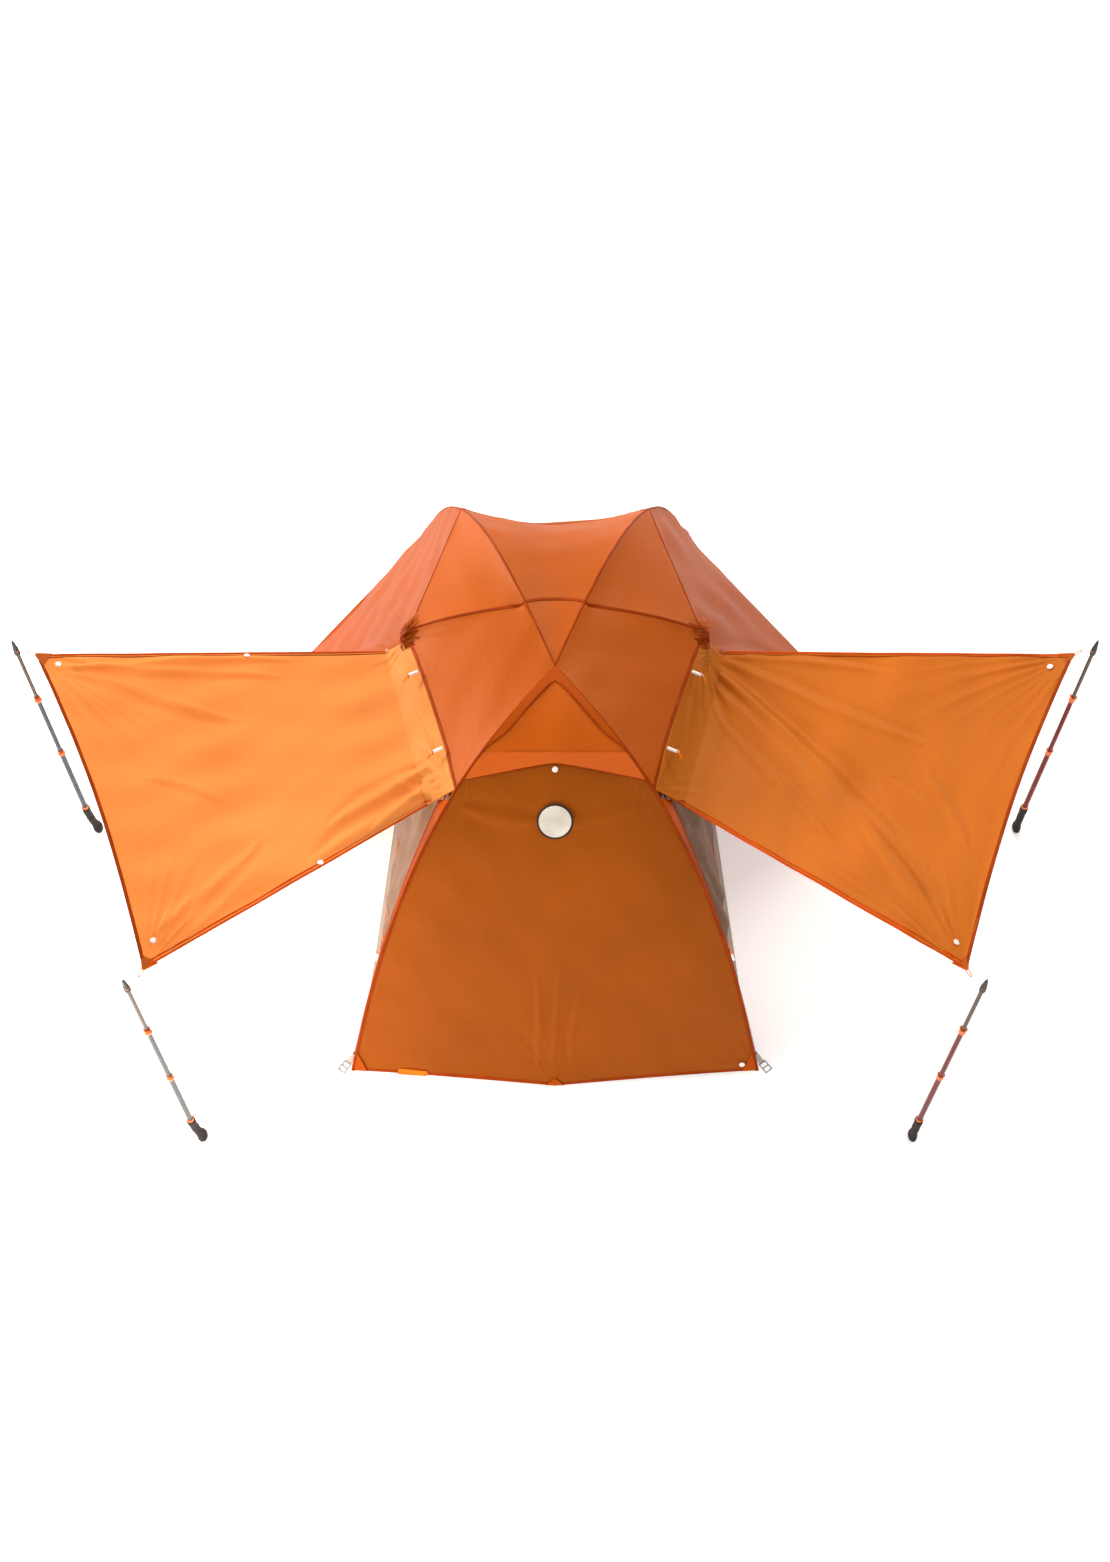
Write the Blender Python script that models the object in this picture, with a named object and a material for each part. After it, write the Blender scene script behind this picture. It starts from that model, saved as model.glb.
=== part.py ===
"""A two-person frame tent with both fly doors propped up as awnings on trekking poles.

Metres, +Z up. The origin is the middle of the floor's underside. -Y is the head end, +Y the foot
end, and the tent is mirrored about X = 0. Fabric panels are thin closed sheets.
"""
import math

import bmesh
import bpy
from mathutils import Matrix, Vector

# ---------------------------------------------------------------- driving dimensions
HUB = Vector((0.0, -0.215, 1.04))            # where the four legs meet
HEAD_FOOT = Vector((0.672, -1.080, 0.006))   # underside of a head leg, right side
FOOT_FOOT = Vector((0.490, 1.060, 0.006))    # underside of a foot leg, right side
ARCH_POWER = 3.0                             # a leg rises steeply, then runs level to the hub
POLE_RADIUS = 0.0045
HUB_ARM = 0.050
HUB_HALF_WIDTH = 0.0085
HUB_HALF_HEIGHT = 0.0075

BROW_Y = 0.030
BROW_TOP = 1.022
BROW_END = Vector((0.470, BROW_Y, 0.885))

FLOOR_HEAD = Vector((0.650, -1.050, 0.0))    # outer bottom corners of the tub
FLOOR_FOOT = Vector((0.470, 1.030, 0.0))
TUB_HEAD_TOP = Vector((0.610, -1.000, 0.150))
TUB_FOOT_TOP = Vector((0.435, 0.960, 0.150))
TUB_WALL = 0.003

FABRIC = 0.002                               # thickness of a fabric panel
SEAM_GAP = 0.004                             # each panel stops this short of its seam
GROUND_GAP = 0.002                           # and this short of its free lower edge
HUB_GAP = 0.060                              # roof panels stop this short of the hub
CROSSING_GAP = 0.050                         # rear roof panels, of the brow pole's crossing
STRIP_TIP_GAP = 0.100                        # the side strip, of the fly's corner
POLE_END_GAP = 0.0006                        # between a leg's end and its socket
FLY_STANDOFF = 0.014                         # fly above a pole's centre line
INNER_STANDOFF = 0.045                       # inner tent below a pole's centre line
FLY_HEAD_CORNER = Vector((0.675, -1.150, 0.030))
FLY_FOOT_CORNER = Vector((0.505, 1.085, 0.030))
CORNER_SPREAD_POWER = 6.0                    # how soon the fly leaves the leg near the ground
BROW_FLY_OFFSET = (0.004, 0.012)             # fly outside and above the brow pole's centre line
STRIP_EVEN_SHARE = 0.15                      # share of the side strip's width that narrows slowly

DOOR_TOP_FAR = Vector((0.510, 0.020, 0.790))     # upper corners of the fly's door
DOOR_TOP_NEAR = Vector((0.360, -0.590, 0.870))
STRIP_TOP_T = 0.53                           # place on the leg where the side strip starts
AWNING_FAR = Vector((1.590, -0.230, 1.148))
AWNING_NEAR = Vector((1.152, -1.275, 1.110))
STAKE_POINT = Vector((1.300, 0.015, 0.020))
AWNING_HEM_HOLLOW = 0.030
AWNING_THICKNESS = 0.003
AWNING_SAG = 0.035
AWNING_EDGE_GAP = 0.006                      # the door's edges stop short of its neighbours
TOGGLE_RADIUS = 0.0045
TOGGLE_STARTS = {                            # inner ends, above the roof beside the door's seam
    "far": Vector((0.436, -0.150, 0.924)),
    "near": Vector((0.347, -0.455, 0.959)),
}
TOGGLE_REACH = Vector((0.036, -0.010, -0.012))
VENT_T = 0.58                                # place on the leg where the vent's hem is
RIDGE_SEAM_T = 0.3465                        # place on the foot leg where the roof seam meets it
SADDLE_DIP = Vector((0.0, -0.026, -0.054))   # middle of the roof seam, from the straight line
PEG_PULL = Vector((0.0, -0.046, -0.020))     # middle of the head wall's hem, from the straight line
PEG_PULL_START = 0.55                        # place on the head wall where the pull begins
ROOF_SAG = 0.010                             # how far the middle of a panel hangs in
HEAD_WALL_SAG = 0.012
FOOT_WALL_SAG = 0.060
VESTIBULE_SAG = 0.030

MESH_DOOR_BOTTOM_Y = (-0.80, 0.70)
MESH_DOOR_TOP = (Vector((0.335, -0.520, 0.800)), Vector((0.430, 0.000, 0.800)),
                 Vector((0.300, 0.500, 0.700)))
MESH_DOOR_GAP = 0.012
MESH_DOOR_SIDE_GAP = 0.002
WALL_BOTTOM_Z = 0.158
CORNER_WALL_RISE = 0.012                     # the corner seams start this far above the walls
HEAD_WALL_TOP = 0.915                        # leg height where an inner end wall stops
FOOT_WALL_TOP = 0.760
INNER_HEAD_SAG = 0.050
INNER_FOOT_SAG = 0.110
INNER_ROOF_RISE = 0.140

STRAP_HALF_WIDTH = 0.011
STRAP_THICKNESS = 0.003
BUCKLE_HALF_WIDTH = 0.016
STRAP_MARKS = {                              # strap start, buckle's corners, buckle end
    "head": (0.003, 0.070, 0.074, 0.104, 0.112),
    "foot": (0.003, 0.042, 0.044, 0.056, 0.060),
}

GRIP_LENGTH = 0.150
BORE_FLOOR = 0.154                           # bottom of the upper tube's bore
UPPER_END = 0.545
UPPER_RADIUS = 0.0090
UPPER_BORE = 0.0083
MIDDLE_RADIUS = 0.0077
MIDDLE_BORE = 0.0070
LOWER_RADIUS = 0.0062
MIDDLE_LENGTH = 0.460
LOWER_LENGTH = 0.400
MIDDLE_TOP_OFFSET = 0.006                    # of the middle clamp, above half way to the tip
TIP_LENGTH = 0.070
POLE_STATIONS = {
    "far": (Vector((1.653, -0.215, 0.0)), 1.195),
    "near": (Vector((1.172, -1.365, 0.0)), 1.255),
}
COLLAR_RADIUS = 0.0110
COLLAR_HEIGHT = 0.022
LEVER_GAP = 0.0006
LEVER_THICKNESS = 0.0025
LEVER_HEIGHT = 0.016
LEVER_ARC = math.radians(125)
BASKET_RADIUS = 0.0095
SIDES = 12

SIDE_NAMES = {-1: "left", 1: "right"}


# ---------------------------------------------------------------- materials
def make_material(name, colour, roughness, metallic=0.0):
    material = bpy.data.materials.new(name)
    material.use_nodes = True
    shader = material.node_tree.nodes["Principled BSDF"]
    shader.inputs["Base Color"].default_value = (*colour, 1.0)
    shader.inputs["Roughness"].default_value = roughness
    shader.inputs["Metallic"].default_value = metallic
    material.diffuse_color = (*colour, 1.0)
    return material


def make_materials():
    return {
        "fly": make_material("fly_fabric", (0.72, 0.17, 0.03), 0.55),
        "awning": make_material("awning_fabric", (0.85, 0.27, 0.05), 0.55),
        "wall": make_material("wall_fabric", (0.40, 0.12, 0.02), 0.60),
        "mesh": make_material("mesh_fabric", (0.45, 0.36, 0.30), 0.80),
        "floor": make_material("floor_fabric", (0.20, 0.19, 0.18), 0.60),
        "frame": make_material("frame_alloy", (0.55, 0.56, 0.58), 0.30, 1.0),
        "plastic": make_material("hard_plastic", (0.04, 0.04, 0.04), 0.45),
        "webbing": make_material("webbing", (0.62, 0.61, 0.58), 0.80),
        "toggle": make_material("toggle_plastic", (0.80, 0.79, 0.76), 0.40),
        "grip": make_material("grip_rubber", (0.02, 0.02, 0.022), 0.75),
        "lever": make_material("lever_plastic", (0.75, 0.20, 0.03), 0.40),
        -1: make_material("grey_tube", (0.18, 0.21, 0.26), 0.35, 1.0),
        1: make_material("red_tube", (0.24, 0.05, 0.05), 0.35, 1.0),
    }


# ---------------------------------------------------------------- curves in space
def mirrored(point, side):
    """The point on the right (side 1) or left (side -1) of the tent."""
    return Vector((point.x * side, point.y, point.z))


def leg_point(foot, t):
    """A point of a leg's centre line, from its foot (t = 0) to the hub (t = 1)."""
    flat = foot.lerp(HUB, t)
    rise = 1.0 - (1.0 - t) ** ARCH_POWER
    return Vector((flat.x, flat.y, foot.z + (HUB.z - foot.z) * rise))


def leg_outward(foot, t):
    """The unit vector out of the tent, square to the leg, in the leg's own upright plane."""
    step = 0.001
    tangent = leg_point(foot, t + step) - leg_point(foot, t - step)
    across = Vector((HUB.x - foot.x, HUB.y - foot.y, 0.0)).cross(Vector((0.0, 0.0, 1.0)))
    return across.cross(tangent).normalized()


def leg_t_at_height(foot, height):
    rise = (height - foot.z) / (HUB.z - foot.z)
    return 1.0 - (1.0 - rise) ** (1.0 / ARCH_POWER)


def ridge_point(foot, corner, t):
    """The fly's line over a leg. Near the ground it spreads out to the fly's own corner."""
    point = leg_point(foot, t) + leg_outward(foot, t) * FLY_STANDOFF
    ground = leg_point(foot, 0.0) + leg_outward(foot, 0.0) * FLY_STANDOFF
    return point + (corner - ground) * (1.0 - t) ** CORNER_SPREAD_POWER


def inner_line_point(foot, t):
    return leg_point(foot, t) - leg_outward(foot, t) * INNER_STANDOFF


def head_ridge(side, t):
    return mirrored(ridge_point(HEAD_FOOT, FLY_HEAD_CORNER, t), side)


def foot_ridge(side, t):
    return mirrored(ridge_point(FOOT_FOOT, FLY_FOOT_CORNER, t), side)


def brow_point(x):
    drop = (BROW_TOP - BROW_END.z) * (x / BROW_END.x) ** 2
    return Vector((x, BROW_Y, BROW_TOP - drop))


def spaced(first, last, count):
    """count evenly spaced numbers from first to last."""
    return [first + (last - first) * i / (count - 1) for i in range(count)]


class Path:
    """A polyline that is read by the share of its length, 0 to 1."""

    def __init__(self, points):
        self.points = [Vector(p) for p in points]
        self.marks = [0.0]
        for a, b in zip(self.points, self.points[1:]):
            self.marks.append(self.marks[-1] + (b - a).length)
        self.length = self.marks[-1]

    def at(self, share):
        want = min(max(share, 0.0), 1.0) * self.length
        for i in range(len(self.points) - 1):
            if want <= self.marks[i + 1] or i == len(self.points) - 2:
                span = self.marks[i + 1] - self.marks[i]
                return self.points[i].lerp(self.points[i + 1], (want - self.marks[i]) / span)
        return self.points[-1]


# ---------------------------------------------------------------- solids
def add_object(name, mesh, material, origin=None):
    mesh.materials.append(material)
    body = bpy.data.objects.new(name, mesh)
    bpy.context.scene.collection.objects.link(body)
    if origin is not None:
        mesh.transform(Matrix.Translation(-Vector(origin)))
        body.location = origin
    return body


def mesh_from(name, vertices, faces, smooth=False):
    mesh = bpy.data.meshes.new(name)
    mesh.from_pydata([tuple(v) for v in vertices], [], faces)
    work = bmesh.new()
    work.from_mesh(mesh)
    bmesh.ops.triangulate(work, faces=work.faces)
    bmesh.ops.recalc_face_normals(work, faces=work.faces)
    work.to_mesh(mesh)
    work.free()
    if smooth:
        mesh.shade_smooth()
        mesh.set_sharp_from_angle(angle=math.radians(40))
    return mesh


def panel(name, first, second, material, cells=(6, 5), sag=0.0, thickness=FABRIC, gaps=None,
          origin=None, hollow=0.0, shift=None):
    """A closed sheet ruled between two paths.

    sag pushes the middle towards the sheet's back, which is the side of second x along-path.
    gaps are the lengths left free at the paths' starts, at their ends, and beside each path.
    hollow curves the edge at the paths' ends back into the sheet.
    shift(u, v) moves the sheet's points: u runs along the paths, v from first to second.
    """
    start_gap, end_gap, side_gap = gaps or (SEAM_GAP, SEAM_GAP, SEAM_GAP)
    length = 0.5 * (first.length + second.length)
    width = (second.at(0.5) - first.at(0.5)).length

    def surface(u, v):
        reach = 1.0 - hollow / length * math.sin(math.pi * v) * u ** 3
        point = first.at(u * reach).lerp(second.at(u * reach), v)
        return point + shift(u, v) if shift else point

    def normal(u, v):
        step = 0.01
        along = surface(min(u + step, 1.0), v) - surface(max(u - step, 0.0), v)
        across = surface(u, min(v + step, 1.0)) - surface(u, max(v - step, 0.0))
        return along.cross(across).normalized()

    us = spaced(start_gap / length, 1.0 - end_gap / length, cells[0] + 1)
    fronts, backs = [], []
    for u in us:
        local = max((second.at(u) - first.at(u)).length, 0.3 * width, 1e-6)
        edge = min(side_gap / local, 0.3)
        for v in spaced(edge, 1.0 - edge, cells[1] + 1):
            out = normal(u, v)
            point = surface(u, v) - out * sag * math.sin(math.pi * u) * math.sin(math.pi * v)
            fronts.append(point)
            backs.append(point - out * thickness)
    columns = cells[1] + 1
    count = len(fronts)
    faces = []
    for i in range(cells[0]):
        for j in range(cells[1]):
            a = i * columns + j
            loop = (a, a + 1, a + 1 + columns, a + columns)
            faces.append(loop)
            faces.append(tuple(count + k for k in reversed(loop)))
    rim = [j for j in range(cells[1])]
    rim += [i * columns + cells[1] for i in range(cells[0])]
    rim += [cells[0] * columns + j for j in range(cells[1], 0, -1)]
    rim += [i * columns for i in range(cells[0], 0, -1)]
    for a, b in zip(rim, rim[1:] + rim[:1]):
        faces.append((b, a, count + a, count + b))
    mesh = mesh_from(name, fronts + backs, faces, smooth=True)
    return add_object(name, mesh, material, origin)


def tube(name, points, radius, material):
    """A round bar along a list of points."""
    curve = bpy.data.curves.new(name, "CURVE")
    curve.dimensions = "3D"
    curve.bevel_depth = radius
    curve.bevel_resolution = 2
    curve.use_fill_caps = True
    spline = curve.splines.new("POLY")
    spline.points.add(len(points) - 1)
    for slot, point in zip(spline.points, points):
        slot.co = (*point, 1.0)
    curve.materials.append(material)
    body = bpy.data.objects.new(name, curve)
    bpy.context.scene.collection.objects.link(body)
    return body


def turned(name, profile, centre, material, sides=SIDES, origin=None, squash=None):
    """A closed solid turned about the upright line through centre.

    profile is a closed run of (radius, height) pairs; a radius of 0 is a point on the line.
    squash maps a height to (x scale, x shift, y scale) for pieces that aren't round.
    """
    vertices, rings = [], []
    for radius, height in profile:
        scale_x, shift_x, scale_y = squash(height) if squash else (1.0, 0.0, 1.0)
        if radius == 0.0:
            rings.append([len(vertices)] * sides)
            vertices.append(centre + Vector((shift_x, 0.0, height)))
            continue
        rings.append(list(range(len(vertices), len(vertices) + sides)))
        for i in range(sides):
            angle = 2.0 * math.pi * i / sides
            offset = Vector((radius * scale_x * math.cos(angle) + shift_x,
                             radius * scale_y * math.sin(angle), height))
            vertices.append(centre + offset)
    closed = profile[0][0] != 0.0
    pairs = list(zip(rings, rings[1:]))
    if closed:
        pairs.append((rings[-1], rings[0]))
    faces = []
    for low, high in pairs:
        for i in range(sides):
            j = (i + 1) % sides
            loop = [low[i], low[j], high[j], high[i]]
            faces.append([k for n, k in enumerate(loop) if k not in loop[:n]])
    mesh = mesh_from(name, vertices, faces, smooth=True)
    return add_object(name, mesh, material, origin)


def extruded(name, outline, low, high, material, place=None, origin=None):
    """A flat outline in XY given a height, then placed by a matrix."""
    count = len(outline)
    vertices = [Vector((x, y, low)) for x, y in outline] + [Vector((x, y, high)) for x, y in outline]
    if place is not None:
        vertices = [place @ v for v in vertices]
    faces = [tuple(reversed(range(count))), tuple(range(count, 2 * count))]
    for i in range(count):
        j = (i + 1) % count
        faces.append((i, j, count + j, count + i))
    return add_object(name, mesh_from(name, vertices, faces), material, origin)


# ---------------------------------------------------------------- frame
def flat_direction(foot, side):
    ground = mirrored(foot, side)
    return Vector((ground.x - HUB.x, ground.y - HUB.y)).normalized()


def build_hub(materials):
    """A four-armed moulding. Each arm is the socket of one leg."""
    arms = [flat_direction(foot, side) for foot, side in
            ((FOOT_FOOT, 1), (FOOT_FOOT, -1), (HEAD_FOOT, -1), (HEAD_FOOT, 1))]
    outline = []
    for i, arm in enumerate(arms):
        left = Vector((-arm.y, arm.x))
        outline.append(arm * HUB_ARM - left * HUB_HALF_WIDTH)
        outline.append(arm * HUB_ARM + left * HUB_HALF_WIDTH)
        following = arms[(i + 1) % len(arms)]
        between = (arm + following).normalized()
        half_angle = arm.angle(following) / 2.0
        outline.append(between * HUB_HALF_WIDTH / math.sin(half_angle))
    extruded("hub", [(p.x, p.y) for p in outline], -HUB_HALF_HEIGHT, HUB_HALF_HEIGHT,
             materials["plastic"], Matrix.Translation(HUB))


def build_legs(materials):
    for side, side_name in SIDE_NAMES.items():
        for foot, end_name in ((HEAD_FOOT, "head"), (FOOT_FOOT, "foot")):
            flat_length = Vector((foot.x - HUB.x, foot.y - HUB.y)).length
            last = 1.0 - (HUB_ARM + POLE_END_GAP) / flat_length
            points = [mirrored(leg_point(foot, t ** 1.5 * last), side) for t in spaced(0.0, 1.0, 15)]
            tube(f"leg_{end_name}_{side_name}", points, POLE_RADIUS, materials["frame"])


def build_brow_pole(materials):
    points = [brow_point(x) for x in spaced(-BROW_END.x, BROW_END.x, 15)]
    tube("brow_pole", points, POLE_RADIUS, materials["frame"])


def build_corner_straps(materials):
    """A webbing tab from each floor corner, under the leg's foot, ending in a buckle."""
    for side, side_name in SIDE_NAMES.items():
        for corner, foot, end_name in ((FLOOR_HEAD, HEAD_FOOT, "head"),
                                       (FLOOR_FOOT, FOOT_FOOT, "foot")):
            start = mirrored(corner, side)
            aim = mirrored(foot, side) - start
            aim.z = 0.0
            aim.normalize()
            turn = Matrix.Rotation(math.atan2(aim.y, aim.x), 4, "Z")
            place = Matrix.Translation(start) @ turn
            widths = (STRAP_HALF_WIDTH, STRAP_HALF_WIDTH, BUCKLE_HALF_WIDTH, BUCKLE_HALF_WIDTH,
                      STRAP_HALF_WIDTH)
            marks = STRAP_MARKS[end_name]
            outline = [(x, -half) for x, half in zip(marks, widths)]
            outline += [(x, half) for x, half in zip(reversed(marks), reversed(widths))]
            extruded(f"corner_strap_{end_name}_{side_name}", outline, 0.0, STRAP_THICKNESS,
                     materials["webbing"], place)


# ---------------------------------------------------------------- shifts of a panel's points
def saddle_at_end(u, v):
    """Cloth between the foot legs dips towards the roof seam at the panel's end."""
    return SADDLE_DIP * (u ** 2 * math.sin(math.pi * v))


def saddle_at_start(u, v):
    return saddle_at_end(1.0 - u, v)


def peg_pull(u, v):
    """The head wall's hem is drawn out to a peg in the middle."""
    share = max(0.0, (u - PEG_PULL_START) / (1.0 - PEG_PULL_START))
    return PEG_PULL * (share ** 2 * (1.0 - abs(2.0 * v - 1.0)))


# ---------------------------------------------------------------- inner tent
def build_floor_tub(materials):
    """A tray of coated fabric: a flat floor and low walls that lean in."""
    def ring(head, foot, inset, height):
        return [Vector((side * (corner.x - inset), corner.y + inset * end, height))
                for side, corner, end in ((-1, head, 1), (1, head, 1), (1, foot, -1), (-1, foot, -1))]

    loops = [ring(FLOOR_HEAD, FLOOR_FOOT, 0.0, 0.0),
             ring(TUB_HEAD_TOP, TUB_FOOT_TOP, 0.0, TUB_HEAD_TOP.z),
             ring(TUB_HEAD_TOP, TUB_FOOT_TOP, TUB_WALL, TUB_HEAD_TOP.z),
             ring(FLOOR_HEAD, FLOOR_FOOT, TUB_WALL + 0.001, TUB_WALL)]
    vertices = [v for loop in loops for v in loop]
    faces = [(3, 2, 1, 0), (12, 13, 14, 15)]
    for k in range(3):
        for i in range(4):
            j = (i + 1) % 4
            faces.append((4 * k + i, 4 * k + j, 4 * k + 4 + j, 4 * k + 4 + i))
    add_object("floor_tub", mesh_from("floor_tub", vertices, faces), materials["floor"])


def tub_side_x(y):
    share = (y - TUB_HEAD_TOP.y) / (TUB_FOOT_TOP.y - TUB_HEAD_TOP.y)
    return TUB_HEAD_TOP.x + (TUB_FOOT_TOP.x - TUB_HEAD_TOP.x) * share


def mesh_door_foot_point(y):
    return Vector((tub_side_x(y), y, WALL_BOTTOM_Z))


def inner_line(foot, side, top_height, count=7):
    low = leg_t_at_height(foot, WALL_BOTTOM_Z + CORNER_WALL_RISE)
    ts = spaced(low, leg_t_at_height(foot, top_height), count)
    return Path([mirrored(inner_line_point(foot, t), side) for t in ts])


def build_inner_tent(materials):
    mesh = materials["mesh"]
    panel("inner_head_wall", inner_line(HEAD_FOOT, 1, HEAD_WALL_TOP),
          inner_line(HEAD_FOOT, -1, HEAD_WALL_TOP), mesh, sag=INNER_HEAD_SAG)
    panel("inner_foot_wall", inner_line(FOOT_FOOT, -1, FOOT_WALL_TOP),
          inner_line(FOOT_FOOT, 1, FOOT_WALL_TOP), mesh, sag=INNER_FOOT_SAG, shift=saddle_at_start)
    for side, side_name in SIDE_NAMES.items():
        low = [mirrored(mesh_door_foot_point(y), side) for y in MESH_DOOR_BOTTOM_Y]
        top = [mirrored(p, side) for p in MESH_DOOR_TOP]
        panel(f"inner_door_{side_name}", *(Path(low), Path(top))[::side], mesh,
              gaps=(MESH_DOOR_GAP, MESH_DOOR_GAP, MESH_DOOR_SIDE_GAP), origin=low[0])
        head_paths = (inner_line(HEAD_FOOT, side, HEAD_WALL_TOP), Path([low[0], top[0]]))
        panel(f"inner_side_head_{side_name}", *head_paths[::side], mesh, cells=(5, 2))
        foot_paths = (Path([low[1], top[2]]), inner_line(FOOT_FOOT, side, FOOT_WALL_TOP))
        panel(f"inner_side_foot_{side_name}", *foot_paths[::side], mesh, cells=(5, 2))

    def roof_edge(side):
        door_inset = Vector((-0.012, 0.0, 0.016))
        head_inset = Vector((-0.004, 0.012, 0.004))
        foot_inset = Vector((-0.004, -0.012, 0.004))
        head = inner_line_point(HEAD_FOOT, leg_t_at_height(HEAD_FOOT, HEAD_WALL_TOP))
        foot = inner_line_point(FOOT_FOOT, leg_t_at_height(FOOT_FOOT, FOOT_WALL_TOP))
        points = [head + head_inset]
        points += [p + door_inset for p in MESH_DOOR_TOP]
        points += [foot + foot_inset]
        return Path([mirrored(p, side) for p in points])

    panel("inner_roof", roof_edge(1), roof_edge(-1), mesh, cells=(8, 6), sag=-INNER_ROOF_RISE,
          shift=saddle_at_end)


# ---------------------------------------------------------------- fly
def brow_t():
    """The place on the foot leg where the brow pole crosses it."""
    return (FOOT_FOOT.y - BROW_Y) / (FOOT_FOOT.y - HUB.y)


def brow_edge(side):
    """The fly's line over the brow pole, from the leg crossing out to the pole's end."""
    crossing = foot_ridge(side, brow_t())
    points = [crossing]
    for x in spaced(abs(crossing.x), BROW_END.x, 5)[1:]:
        outside, above = BROW_FLY_OFFSET
        points.append(mirrored(brow_point(x), side) + Vector((outside * side, 0.0, above)))
    return points


def strip_edge(side, count=9):
    """The door's near edge: beside the leg's line, and meeting it at the fly's corner."""
    top_width = DOOR_TOP_NEAR - head_ridge(1, STRIP_TOP_T)
    points = []
    for t in spaced(STRIP_TOP_T, 0.0, count):
        share = t / STRIP_TOP_T
        taper = STRIP_EVEN_SHARE * share ** 0.5 + (1.0 - STRIP_EVEN_SHARE) * share ** 3
        points.append(mirrored(head_ridge(1, t) + top_width * taper, side))
    return points


def build_fly(materials):
    fly, wall = materials["fly"], materials["wall"]
    foot_ts = spaced(1.0, RIDGE_SEAM_T, 7)
    low_ts = spaced(RIDGE_SEAM_T, 0.0, 7)

    def head_path(side, first, last, count=7):
        return Path([head_ridge(side, t) for t in spaced(first, last, count)])

    panel("fly_head_wall", head_path(-1, VENT_T, 0.0, 9), head_path(1, VENT_T, 0.0, 9), wall,
          cells=(8, 6), sag=HEAD_WALL_SAG, gaps=(SEAM_GAP, GROUND_GAP, SEAM_GAP), shift=peg_pull)
    panel("fly_vent", head_path(-1, 1.0, VENT_T), head_path(1, 1.0, VENT_T), fly, cells=(3, 4),
          gaps=(HUB_GAP, SEAM_GAP, SEAM_GAP))
    panel("fly_roof_centre", Path([foot_ridge(1, t) for t in foot_ts]),
          Path([foot_ridge(-1, t) for t in foot_ts]), fly, cells=(7, 6), sag=ROOF_SAG,
          gaps=(HUB_GAP, SEAM_GAP, SEAM_GAP), shift=saddle_at_end)
    panel("fly_foot_wall", Path([foot_ridge(1, t) for t in low_ts]),
          Path([foot_ridge(-1, t) for t in low_ts]), fly, cells=(7, 6), sag=FOOT_WALL_SAG,
          gaps=(SEAM_GAP, GROUND_GAP, SEAM_GAP), shift=saddle_at_start)
    for side, side_name in SIDE_NAMES.items():
        corner_near = mirrored(DOOR_TOP_NEAR, side)
        corner_far = mirrored(DOOR_TOP_FAR, side)
        stake = mirrored(STAKE_POINT, side)
        near_edge = [head_ridge(side, t) for t in spaced(1.0, STRIP_TOP_T, 6)] + [corner_near]
        to_crossing = [foot_ridge(side, t) for t in spaced(1.0, brow_t(), 3)]
        far_edge = to_crossing + brow_edge(side)[1:] + [corner_far]
        panel(f"fly_roof_side_{side_name}", *(Path(near_edge), Path(far_edge))[::side], fly,
              cells=(7, 5), sag=ROOF_SAG, gaps=(HUB_GAP, SEAM_GAP, SEAM_GAP))
        seam_ts = spaced(brow_t(), RIDGE_SEAM_T, 6)
        panel(f"fly_roof_rear_{side_name}",
              *(Path(brow_edge(side)), Path([foot_ridge(side, t) for t in seam_ts]))[::side], fly,
              cells=(5, 3), sag=ROOF_SAG, gaps=(CROSSING_GAP, SEAM_GAP, SEAM_GAP))
        panel(f"fly_vestibule_{side_name}",
              *(Path([brow_edge(side)[-1], corner_far, stake]),
                Path([foot_ridge(side, t) for t in low_ts]))[::side],
              fly, cells=(7, 6), sag=VESTIBULE_SAG, gaps=(SEAM_GAP, GROUND_GAP, SEAM_GAP))
        ridge = Path([head_ridge(side, t) for t in spaced(STRIP_TOP_T, 0.0, 9)])
        panel(f"fly_side_strip_{side_name}", *(ridge, Path(strip_edge(side)))[::side], fly,
              cells=(8, 1), gaps=(SEAM_GAP, STRIP_TIP_GAP, SEAM_GAP))
        panel(f"awning_{side_name}",
              *(Path([corner_near, mirrored(AWNING_NEAR, side)]),
                Path([corner_far, mirrored(AWNING_FAR, side)]))[::side],
              materials["awning"], cells=(7, 7), sag=AWNING_SAG, thickness=AWNING_THICKNESS,
              gaps=(0.008, 0.0, AWNING_EDGE_GAP), origin=corner_far, hollow=AWNING_HEM_HOLLOW)
        build_toggles(materials, side, side_name)
        build_zip_slider(materials, side, side_name)


def build_toggles(materials, side, side_name):
    """Two small bars on loops, on the roof above the door. They tie the door when it is rolled."""
    for place_name, start in TOGGLE_STARTS.items():
        ends = [mirrored(start, side), mirrored(start + TOGGLE_REACH, side)]
        tube(f"toggle_{place_name}_{side_name}", ends, TOGGLE_RADIUS, materials["toggle"])


def build_zip_slider(materials, side, side_name):
    """The slider of the vestibule's zip. It runs down the panel's straight edge."""
    top, stake = mirrored(DOOR_TOP_FAR, side), mirrored(STAKE_POINT, side)
    along = (stake - top).normalized()
    out = Vector((side * -along.z, 0.0, abs(along.x))).normalized()
    across = along.cross(out)
    start = top + along * 0.050 + Vector((0.0, 0.018, 0.0)) + out * 0.012
    frame = Matrix((along, across, out)).transposed().to_4x4()
    outline = [(-0.008, -0.005), (0.006, -0.006), (0.010, -0.003), (0.034, -0.003), (0.036, 0.0),
               (0.034, 0.003), (0.010, 0.003), (0.006, 0.006), (-0.008, 0.005)]
    extruded(f"zip_slider_{side_name}", outline, 0.0, 0.003, materials["plastic"],
             Matrix.Translation(start) @ frame, origin=start)


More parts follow.
